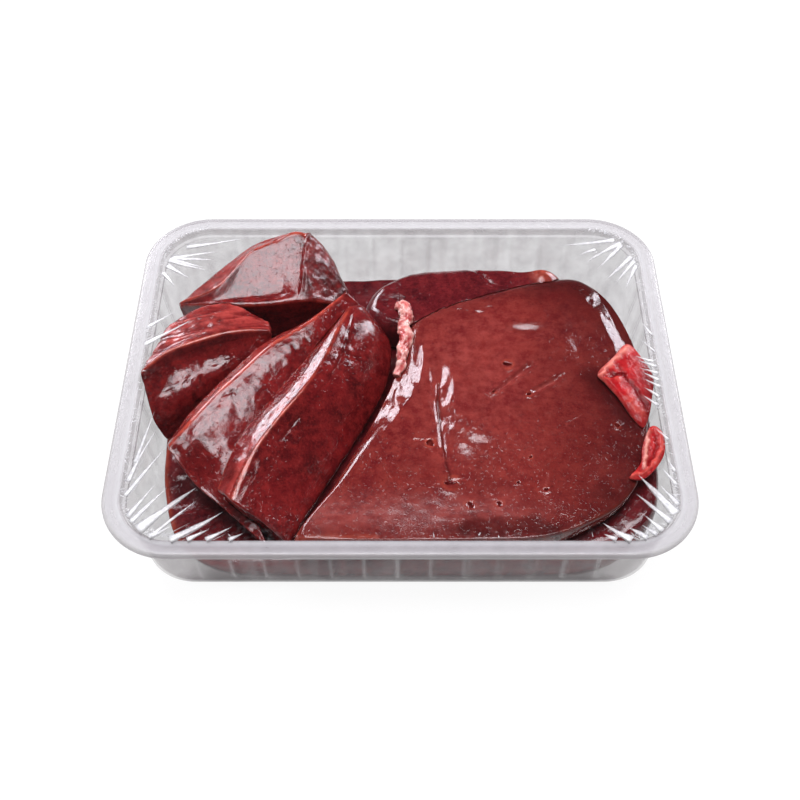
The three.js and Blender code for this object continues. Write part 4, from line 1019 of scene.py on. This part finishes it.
def tray():
    nx, ny, nc = ((300, 220, 30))
    bx, by = HX - INSET_X, HY - INSET_Y
    rings = []

    def ring(hx, hy, r, z, ribs=0.0):
        rings.append((hx, hy, r, z, ribs))

    def wall(z, inside, ribs=0.0):
        w = WALL if inside else 0.0
        t = z / LEDGE_Z
        ring(bx + DRAFT_X * z - w, by + DRAFT_Y * z - w, BASE_R * (1 - t) + MOUTH_R * t - w, z, ribs)

    def at(d, r, z):
        ring(HX - d, HY - d, r, z)

    def soft(z):
        a = np.clip((z - 6.6) / 2.6, 0, 1) * np.clip((34.9 - z) / 2.2, 0, 1)
        return float(a * a * (3 - 2 * a))

    for d, z in ((3.8, 0.8), (2.9, 0.98), (1.9, 1.6), (1.0, 2.5), (0.45, 3.4)):
        ring(bx - d, by - d, BASE_R - d, z)
    for z in (4.4, 5.6, 6.8, 7.6, 8.4, 9.4, 14, 19, 24, 29, 31.5, 32.8, 33.4, 34.0, 34.6, 35.2):
        wall(z, True, soft(z))
    for d, r, z in ((9.0, 19.0, 35.75), (8.1, 19.8, 35.95), (7.6, 20.2, 36.1), (7.3, 20.5, 36.5), (7.25, 20.55, 38.0), (7.2, 20.6, 39.1),
                    (6.95, 20.85, 39.65), (6.5, 21.3, 39.93), (5.9, 21.9, 40.0), (4.0, 24.0, 39.86), (2.6, 25.4, 39.92), (1.7, 26.3, 40.0),
                    (0.9, 27.1, 39.86), (0.35, 27.65, 39.5), (0.06, 27.94, 39.0), (0.0, 28.0, 38.4), (0.04, 27.96, 37.95),
                    (0.3, 27.7, 37.8), (0.62, 27.38, 37.85), (0.8, 27.2, 38.1), (1.0, 27.0, 38.75), (1.6, 26.4, 39.05), (4.0, 24.0, 39.0),
                    (5.9, 21.9, 39.05), (6.3, 21.5, 38.85), (6.5, 21.3, 38.4), (6.5, 21.3, 36.2), (6.6, 21.2, 35.6), (7.2, 20.6, 35.3)):
        at(d, r, z)
    for z in (34.9, 34.5, 34.0, 33.4, 32.8, 31.5, 29, 24, 19, 14, 9.4, 8.4, 7.6, 6.8, 5.6, 4.4, 3.4):
        wall(z, False, soft(z))
    for d, z in ((0.15, 2.4), (0.75, 1.3), (1.7, 0.5), (2.6, 0.12), (3.4, 0.0)):
        ring(bx - d, by - d, BASE_R - d, z)
    V, rim, painted_light, shade = [], [], [], []
    for hx, hy, r, z, ribs in rings:
        p, d = rounded(hx, hy, r, nx, ny, nc)
        if ribs:
            depth = rib_depth(p, d)
            # each rib gets a painted highlight on one flank and painted shade on the other
            along = np.where(np.abs(d[:, 1]) > 0.999, p[:, 0] * -np.sign(d[:, 1]), p[:, 1] * np.sign(d[:, 0]))
            k = np.round(along / RIB_PITCH)
            off = along - k * RIB_PITCH
            straight = (np.abs(d[:, 1]) > 0.999) | (np.abs(d[:, 0]) > 0.999)
            each = 0.2 + 0.8 * _hash(k.astype(np.int64) + 40, 0 * k.astype(np.int64), 0 * k.astype(np.int64), 207)
            frontal = np.where(d[:, 1] < -0.9, 1.0, 0.3) * ribs * straight * (np.abs(k) <= np.where(np.abs(d[:, 1]) > 0.999, 6, 4))
            glint = np.exp(-((off + 0.9) / 1.0) ** 2) * frontal * each * 0.7
            dim = np.exp(-((off - 1.0) / 1.0) ** 2) * frontal * each
            p = p + d * (depth * ribs)[:, None]
        else:
            glint = np.zeros(len(p))
            dim = glint
        V.append(np.concatenate([p, np.full((len(p), 1), z)], 1))
        d = HX - hx
        flange = z > 36.3 and d < 7.6
        # the rib highlights and pale vertical streaks on the walls are painted reflections, raising paleness and
        # opacity
        streak = np.clip(noise(np.stack([p[:, 0], p[:, 1], 0 * p[:, 0]], 1), 3.5, 205), 0, 1)
        rim.append(np.full(len(p), float(np.interp(d, *RIM_VEIL))) if flange else glint * 0.63 + (z > 3) * streak * 0.21)
        painted_light.append(np.full(len(p), float(np.interp(d, *RIM_PAINTED_LIGHT))) if flange else glint * 0.8 + (z > 3) * streak * 0.3)
        # low paints a dark outline along the bottom edge, and foot paints shade low on the front wall, darker and more
        # opaque
        low = float(np.exp(-((z - 0.5) / 0.7) ** 2)) * (d > 8)
        lip = 0.0 if z < 38.3 and d < 1.2 else 0.0
        at_front = np.clip(-p[:, 1] / HY * 1.4 - 0.4, 0, 1)
        foot = np.clip((7.5 - z) / 3, 0, 1) * (d > 8) * at_front * np.clip((90 - np.abs(p[:, 0])) / 16, 0, 1)
        # the lip gets a painted highlight, and the flange is painted paler and more opaque towards the front
        if flange and z < 38.3 and d < 1.2:
            painted_light[-1] = np.maximum(painted_light[-1], 0.8)
        if flange:
            rim[-1] = np.clip(rim[-1] * (0.75 + 0.35 * at_front), 0, 1)
            painted_light[-1] = painted_light[-1] * (0.84 + 0.16 * at_front)
        else:
            rim[-1] = np.clip(np.maximum(rim[-1], foot * 1.0), 0, 1)
        shade.append(np.maximum(np.maximum(dim * 0.5, foot * 0.7), max(0.75 * low, lip)))
    n = len(V[0])
    F = grid_faces(len(V), n).tolist()
    V = np.concatenate(V)
    rim, painted_light, shade = np.concatenate(rim), np.concatenate(painted_light), np.concatenate(shade)
    # floor sheets: rings that close to a point, inside then underneath
    for start, z, flip in ((0, 0.8, True), (len(V) - n, 0.0, False)):
        row = V[start:start + n]
        prev = start
        for t in (0.75, 0.5, 0.25):
            new = len(V)
            V = np.concatenate([V, np.concatenate([row[:, :2] * t, np.full((n, 1), z)], 1)])
            rim = np.concatenate([rim, np.zeros(n)])
            painted_light = np.concatenate([painted_light, np.zeros(n)])
            shade = np.concatenate([shade, np.zeros(n)])
            i = np.arange(n)
            k = (i + 1) % n
            q = np.stack([prev + i, prev + k, new + k, new + i], 1)
            F += (q[:, ::-1] if flip else q).tolist()
            prev = new
        c = len(V)
        V = np.concatenate([V, [[0, 0, z]]])
        rim, painted_light, shade = np.append(rim, 0), np.append(painted_light, 0), np.append(shade, 0)
        for i in range(n):
            a, b = prev + i, prev + (i + 1) % n
            F.append([b, a, c] if flip else [a, b, c])
    ob = make("tray_clear", V, F)
    # slight unevenness of thin drawn sheet
    P, N = coords(ob), normals(ob)
    sway = fbm(P * [1, 1, 0.3], 30, 2, 201) * 0.16
    edge = np.abs(P[:, :2]) / [HX, HY]
    keep = np.clip((P[:, 2] - 3) / 4, 0, 1) * np.clip((36 - P[:, 2]) / 4, 0, 1)
    d = P[:, :2] / np.maximum(np.linalg.norm(P[:, :2], axis=1, keepdims=True), 1)
    P[:, :2] += d * (sway * keep)[:, None]
    place(ob, P)
    attribute(ob, "rim", rim)
    attribute(ob, "painted_light", painted_light)
    attribute(ob, "shade", shade)
    return ob


# ---------------------------------------------------------------- film
def upper_planes(points):
    """Planes of the upper side of the points' hull, as rows a, b, c of z = a x + b y + c."""
    bm = bmesh.new()
    for p in points:
        bm.verts.new(p)
    bmesh.ops.convex_hull(bm, input=bm.verts)
    bm.normal_update()
    rows = []
    c = Vector(points.mean(0))
    for f in bm.faces:
        n = f.normal.copy()
        if n.dot(f.verts[0].co - c) < 0:
            n.negate()
        if n.z > 0.02:
            q = f.verts[0].co
            rows.append((-n.x / n.z, -n.y / n.z, n.dot(q) / n.z))
    bm.free()
    return np.unique(np.round(np.array(rows), 6), axis=0)


FRAME_D, FRAME_Z = 5.0, 40.45


def film_grid(meats):
    n_rings = 90
    P = np.concatenate([coords(o) for o in meats])
    P = P[P[:, 2] > 39.4]
    # the highest point in each 2 mm square is enough for the hull
    key = np.round(P[:, 0] / 2).astype(int) * 1000 + np.round(P[:, 1] / 2).astype(int)
    order = np.lexsort((-P[:, 2], key))
    P = P[order][np.unique(key[order], return_index=True)[1]]
    edge, _ = rounded(HX - FRAME_D, HY - FRAME_D, 28 - FRAME_D, 30, 24, 12)
    pts = np.concatenate([P + [0, 0, 1.0], np.concatenate([edge, np.full((len(edge), 1), FRAME_Z)], 1)])
    return upper_planes(pts), n_rings


def film_height(planes, x, y):
    z = np.full(len(x), 1e9)
    for a, b, c in planes:
        z = np.minimum(z, a * x + b * y + c)
    return z


def film(planes, n_rings):
    nx, ny, nc = ((130, 100, 30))
    rows, crink = [], []
    outer = [(1.4, FRAME_Z), (1.6, FRAME_Z), (3.0, FRAME_Z), (4.2, FRAME_Z)]
    base, dirs = rounded(HX - FRAME_D, HY - FRAME_D, 28 - FRAME_D, nx, ny, nc)
    for d, z in outer:
        p, _ = rounded(HX - d, HY - d, 28 - d, nx, ny, nc)
        rows.append(np.concatenate([p, np.full((len(p), 1), z)], 1))
        crink.append(np.zeros(len(p)))
    n = len(base)
    ts = np.linspace(0, 1, n_rings) ** 0.9
    body = []
    for t in ts[:-1]:
        p = base * (1 - t)
        body.append(np.stack([p[:, 0], p[:, 1], film_height(planes, p[:, 0], p[:, 1])], 1))
    body = np.array(body)
    z = body[:, :, 2].copy()
    low = z.copy()
    for _ in range(10):
        s = z.copy()
        s[1:-1] = 0.5 * z[1:-1] + 0.125 * (z[2:] + z[:-2] + np.roll(z[1:-1], 1, 1) + np.roll(z[1:-1], -1, 1))
        z = np.maximum(s, low - 0.22)
    body[:, :, 2] = z
    dist = np.linalg.norm(body[:, :, :2] - base[None], axis=2)
    flat = body.reshape(-1, 3)
    # taut creases that start at the mouth and die away inwards
    ang = np.tile(np.arange(n), len(body)) / n * 2 * math.pi
    round_trip = np.stack([np.cos(ang) * 110, np.sin(ang) * 110, np.zeros(len(ang))], 1)
    fold = noise(round_trip, 2.6, 301) * 0.6 + noise(round_trip, 5.5, 302) * 0.4
    fade = np.exp(-(dist.ravel() / 9.0)) * np.clip(dist.ravel() / 1.5, 0, 1)
    flat[:, 2] += fold * fade * 0.16
    crink.append(np.clip(fade * (0.4 + 0.6 * np.abs(fold)) * 1.6, 0, 1))
    V = np.concatenate([np.concatenate(rows), flat])
    crink = np.concatenate(crink)
    R = len(outer) + len(body)
    top = grid_faces(R, n).tolist()
    c = len(V)
    V = np.concatenate([V, [[0, 0, film_height(planes, np.zeros(1), np.zeros(1))[0]]]])
    crink = np.append(crink, 0)
    for i in range(n):
        top.append([(R - 1) * n + i, (R - 1) * n + (i + 1) % n, c])
    N = len(V)
    under = V - [0, 0, FILM_T]
    bottom = [[q + N for q in f][::-1] for f in top]
    sides = [[(i + 1) % n, i, N + i, N + (i + 1) % n] for i in range(n)]
    ob = make("film_clear", np.concatenate([V, under]), top + bottom + sides)
    attribute(ob, "crinkle", np.concatenate([crink, crink]))
    return ob


# film folds that show as white streaks, partly painted highlight: start x, y, end x, y and width, mm
PLEATS = [
    (-101.9, -73.0, -93.0, -59.1, 1.0), (-100.4, -75.3, -88.4, -60.7, 1.2), (-97.3, -78.6, -77.3, -60.7, 2.0), (-92.9, -81.5, -84.9, -76.9, 1.2),
    (-92.1, -81.4, -76.6, -66.3, 0.8), (-86.1, -83.5, -66.3, -71.1, 1.6), (-80.2, -83.8, -70.7, -78.4, 1.0), (-73.3, -83.8, -62.6, -77.5, 1.0),
    (-64.8, -83.8, -58.1, -80.2, 0.9), (-104.0, -64.0, -91.2, -43.2, 1.0), (-103.7, -57.8, -95.4, -34.5, 0.9), (-101.9, -49.5, -97.3, -26.0, 0.9),
    (103.4, -71.5, 91.4, -54.6, 2.2), (101.0, -75.2, 89.4, -63.0, 1.4), (97.4, -78.8, 91.5, -72.4, 1.2), (95.3, -80.7, 90.0, -76.6, 1.0),
    (91.8, -82.3, 84.5, -77.4, 1.3), (86.9, -83.7, 75.5, -75.8, 1.5), (81.7, -83.9, 75.4, -80.4, 1.1), (105.0, -67.5, 99.3, -59.2, 1.1),
    (-95.4, 68.0, -67.7, 70.0, 1.3), (-101.1, 61.3, -79.8, 62.5, 1.4), (-101.6, 61.3, -81.7, 57.4, 1.6), (-102.0, 61.3, -86.0, 53.1, 1.6),
    (-102.3, 60.0, -83.8, 50.7, 1.2), (-102.7, 56.9, -91.7, 47.1, 1.3), (-104.1, 52.5, -97.3, 42.3, 1.1),
    (96.6, 73.9, 70.9, 68.7, 1.3), (99.3, 72.0, 82.2, 58.9, 1.3), (87.4, 67.2, 79.4, 63.0, 0.9), (99.5, 70.6, 87.0, 54.9, 1.2),
    (102.9, 63.3, 90.0, 48.5, 1.3), (104.0, 60.7, 94.4, 47.3, 1.1), (104.6, 58.1, 98.2, 44.1, 1.0),
    (-106.0, 8.8, -87.3, 20.5, 1.3), (-109.6, 16.5, -94.8, 26.8, 1.1),
    (104.7, -15.7, 98.9, -11.3, 0.9), (103.7, -20.3, 98.3, -15.7, 0.9), (105.8, -10.5, 99.8, -7.0, 0.8), (105.9, -7.0, 99.5, -3.5, 0.9),
    (106.0, -3.5, 98.5, -1.3, 0.8), (105.8, 0.1, 98.3, 2.7, 0.9), (104.8, 2.7, 97.5, 5.0, 0.8), (105.3, -37.3, 102.0, -32.8, 0.7),
    (105.8, -52.4, 103.5, -46.1, 0.7), (105.5, -58.5, 100.9, -50.8, 0.8), (106.2, 8.0, 100.8, 14.6, 0.6), (106.2, 17.4, 102.5, 24.7, 0.6)]


def beyond_mouth(x, y):
    """Whether a plan point lies outside the line where the film leaves the flange."""
    hx, hy, r = HX - 6.6, HY - 6.6, 21.4
    qx, qy = abs(x) - (hx - r), abs(y) - (hy - r)
    return math.hypot(max(qx, 0), max(qy, 0)) + min(max(qx, qy), 0) > r


def pleats(planes):
    """Folds of the gathered film: long narrow tapers that start at the mouth, and the small crimps between them."""
    rnd = np.random.default_rng(7)
    folds = [(x0, y0, x1, y1, w * 2.3, 1.0) for x0, y0, x1, y1, w in PLEATS]
    # faint companions beside the strong folds
    for x0, y0, x1, y1, w in PLEATS:
        for _ in range(2):
            s = rnd.uniform(-1, 1, 2) * 2.6
            k = rnd.uniform(0.25, 0.7)
            folds.append((x0 + s[0], y0 + s[1], x0 + s[0] + (x1 - x0) * k, y0 + s[1] + (y1 - y0) * k, 0.35, rnd.uniform(0.3, 0.7)))
    # crimps all along the mouth, denser at the corners and the sides
    edge, dirs = rounded(HX - 6.0, HY - 6.0, 22, 300, 240, 160)
    for i in range(len(edge)):
        p, d = edge[i], dirs[i]
        corner = abs(d[0]) * abs(d[1]) > 0.02
        side = abs(d[0]) > 0.9
        chance = 0.36 if corner else (0.3 if side else 0.02)
        if rnd.random() > chance:
            continue
        turn = rnd.normal(0, 0.45)
        q = np.array([d[0] * math.cos(turn) - d[1] * math.sin(turn), d[0] * math.sin(turn) + d[1] * math.cos(turn)])
        start = p - d * rnd.uniform(1.2, 3.2)
        length = rnd.uniform(0.7, 2.8)
        end = start - q * length
        folds.append((start[0], start[1], end[0], end[1], rnd.uniform(0.3, 0.75), rnd.uniform(0.5, 1.0)))
    limit, _ = rounded(HX - 5.6, HY - 5.6, 22.4, 2, 2, 2)
    V, F, S = [], [], []
    for x0, y0, x1, y1, w, strong in folds:
        t = 0.0
        while t < 0.6 and beyond_mouth(x0 + (x1 - x0) * t, y0 + (y1 - y0) * t):
            t += 0.02
        x0, y0 = x0 + (x1 - x0) * t, y0 + (y1 - y0) * t
        L = math.hypot(x1 - x0, y1 - y0)
        if L < 0.4:
            continue
        n = int(max(4, min(26, L / 0.9)))
        t = np.linspace(0, 1, n)
        cx, cy = x0 + (x1 - x0) * t, y0 + (y1 - y0) * t
        bow = rnd.normal(0, 0.012) * L * np.sin(t * math.pi)
        nxv, nyv = -(y1 - y0) / L, (x1 - x0) / L
        cx, cy = cx + nxv * bow, cy + nyv * bow
        half = 0.5 * w * (1 - t) ** 0.85 * (1 + 0.12 * np.sin(t * 9 + rnd.uniform(0, 6))) + 0.05
        high = min(0.32, 0.35 * w) * (1 - 0.75 * t) + 0.03
        rows = []
        for a, h in ((-1.0, 0.02), (-0.25, 1.0), (0.35, 0.55), (1.0, 0.02)):
            x, y = cx + nxv * half * a, cy + nyv * half * a
            z = film_height(planes, x, y) + 0.06 + high * h
            rows.append(np.stack([x, y, z], 1))
        x, y = cx, cy
        rows.append(np.stack([x, y, film_height(planes, x, y) + 0.05], 1))
        rows = np.array(rows).transpose(1, 0, 2)
        base = sum(len(v) for v in V)
        V.append(rows.reshape(-1, 3))
        m = 5
        F += (grid_faces(n, m) + base).tolist()
        F.append([base + k for k in range(m)][::-1])
        F.append([base + (n - 1) * m + k for k in range(m)])
        fade = np.clip(1.15 - t, 0, 1) ** 0.6
        # how strongly each fold's white, which is partly painted highlight, shows
        S.append((fade[:, None] * np.array([0.45, 1.0, 0.9, 0.45, 0.3])[None] * strong).ravel())
    ob = make("film_pleats", np.concatenate(V), F)
    attribute(ob, "solid", np.concatenate(S))
    return ob


# ---------------------------------------------------------------- build
front = cut_piece("slice_front")
mid = cut_piece("slice_mid")
left = cut_piece("slice_left")
strip = strip_left()
flap = flap_right()
loop = loop_right()
wedge = cut_piece("wedge_back_left")
slab, cutters = big_slab()
lobe = back_lobe()
base = base_slab()

order = [front, mid, left, strip, flap, loop, wedge, slab, lobe, base]
outs = []
for ob in order:
    if outs:
        cut(ob, outs)
    if ob is slab:
        cut(ob, cutters)
    if ob is not base:
        outs.append(grown(ob, GAP))
for extra in outs + cutters:
    me = extra.data
    bpy.data.objects.remove(extra)
    bpy.data.meshes.remove(me)

planes, n_rings = film_grid(order)
cover = film(planes, n_rings)
folds = pleats(planes)
shell = tray()

finish_piece(front, M_CUT, ["slice_front"])
finish_piece(mid, M_CUT, ["slice_mid"])
finish_piece(left, M_CUT, ["slice_left"])
finish_piece(wedge, M_CUT, ["wedge_back_left"])
finish_piece(strip, M_FAT, ["vessel_strip_left"])
finish_piece(flap, M_VESSEL, ["vessel_flap_right"])
finish_piece(loop, M_VESSEL, ["vessel_loop_right"])
finish_piece(slab, M_SKIN, ["liver_slab"])
finish_piece(lobe, M_DARK, ["liver_lobe_back"])
finish_piece(base, M_DARK, ["liver_base"])
finish_piece(shell, M_TRAY, ["tray"])
finish_piece(cover, M_FILM, ["film"])
finish_piece(folds, M_PLEAT, [])


# ---------------------------------------------------------------- studio
floor_me = bpy.data.meshes.new("floor")
floor_me.from_pydata([(-3, -3, -0.0004), (3, -3, -0.0004), (3, 3, -0.0004), (-3, 3, -0.0004)], [], [(0, 1, 2, 3)])
floor = bpy.data.objects.new("floor", floor_me)
bpy.context.scene.collection.objects.link(floor)
m, nt, out = material("floor_white")
p = nt.nodes.new("ShaderNodeBsdfPrincipled")
p.inputs["Base Color"].default_value = (0.12, 0.12, 0.12, 1)
p.inputs["Roughness"].default_value = 0.9
p.inputs["Specular IOR Level"].default_value = 0.1
p.inputs["Emission Color"].default_value = (1, 1, 1, 1)
p.inputs["Emission Strength"].default_value = 0.93
nt.links.new(p.outputs["BSDF"], out.inputs["Surface"])
floor.data.materials.append(m)


def area(name, where, target, size, power, color=(1, 1, 1)):
    L = bpy.data.lights.new(name, "AREA")
    L.shape = "RECTANGLE"
    L.size, L.size_y = size
    L.energy = power
    L.color = color
    o = bpy.data.objects.new(name, L)
    o.location = where
    o.rotation_euler = (Vector(target) - Vector(where)).to_track_quat("-Z", "Y").to_euler()
    bpy.context.scene.collection.objects.link(o)
    return o


area("overhead", (-0.02, 0.02, 0.95), (-0.02, 0.02, 0), (0.7, 0.56), 9.5, (0.98, 0.97, 1.0))
area("back_left", (-0.54, 0.73, 0.51), (-0.02, 0, 0.03), (0.36, 0.5), 6.0, (0.95, 0.93, 1.0))
area("back_right", (0.60, 0.62, 0.45), (0.02, 0, 0.03), (0.32, 0.5), 4.5, (0.95, 0.93, 1.0))

scene = bpy.context.scene
world = bpy.data.worlds.new("studio")
scene.world = world
world.use_nodes = True
bg = world.node_tree.nodes["Background"]
bg.inputs["Color"].default_value = (1.0, 0.99, 0.98, 1)
bg.inputs["Strength"].default_value = 0.06
scene.view_settings.view_transform = "Standard"
scene.view_settings.look = "None"
scene.view_settings.exposure = 0.0
scene.view_settings.gamma = 1.0

cam_data = bpy.data.cameras.new("camera")
cam_data.lens = 52.38
cam_data.sensor_width = 36.0
cam_data.clip_start, cam_data.clip_end = 0.01, 10
cam = bpy.data.objects.new("camera", cam_data)
cam.location = (0.0, -0.30626, 0.41037)
cam.rotation_euler = (math.radians(38.0), 0, 0)
scene.collection.objects.link(cam)
scene.camera = cam
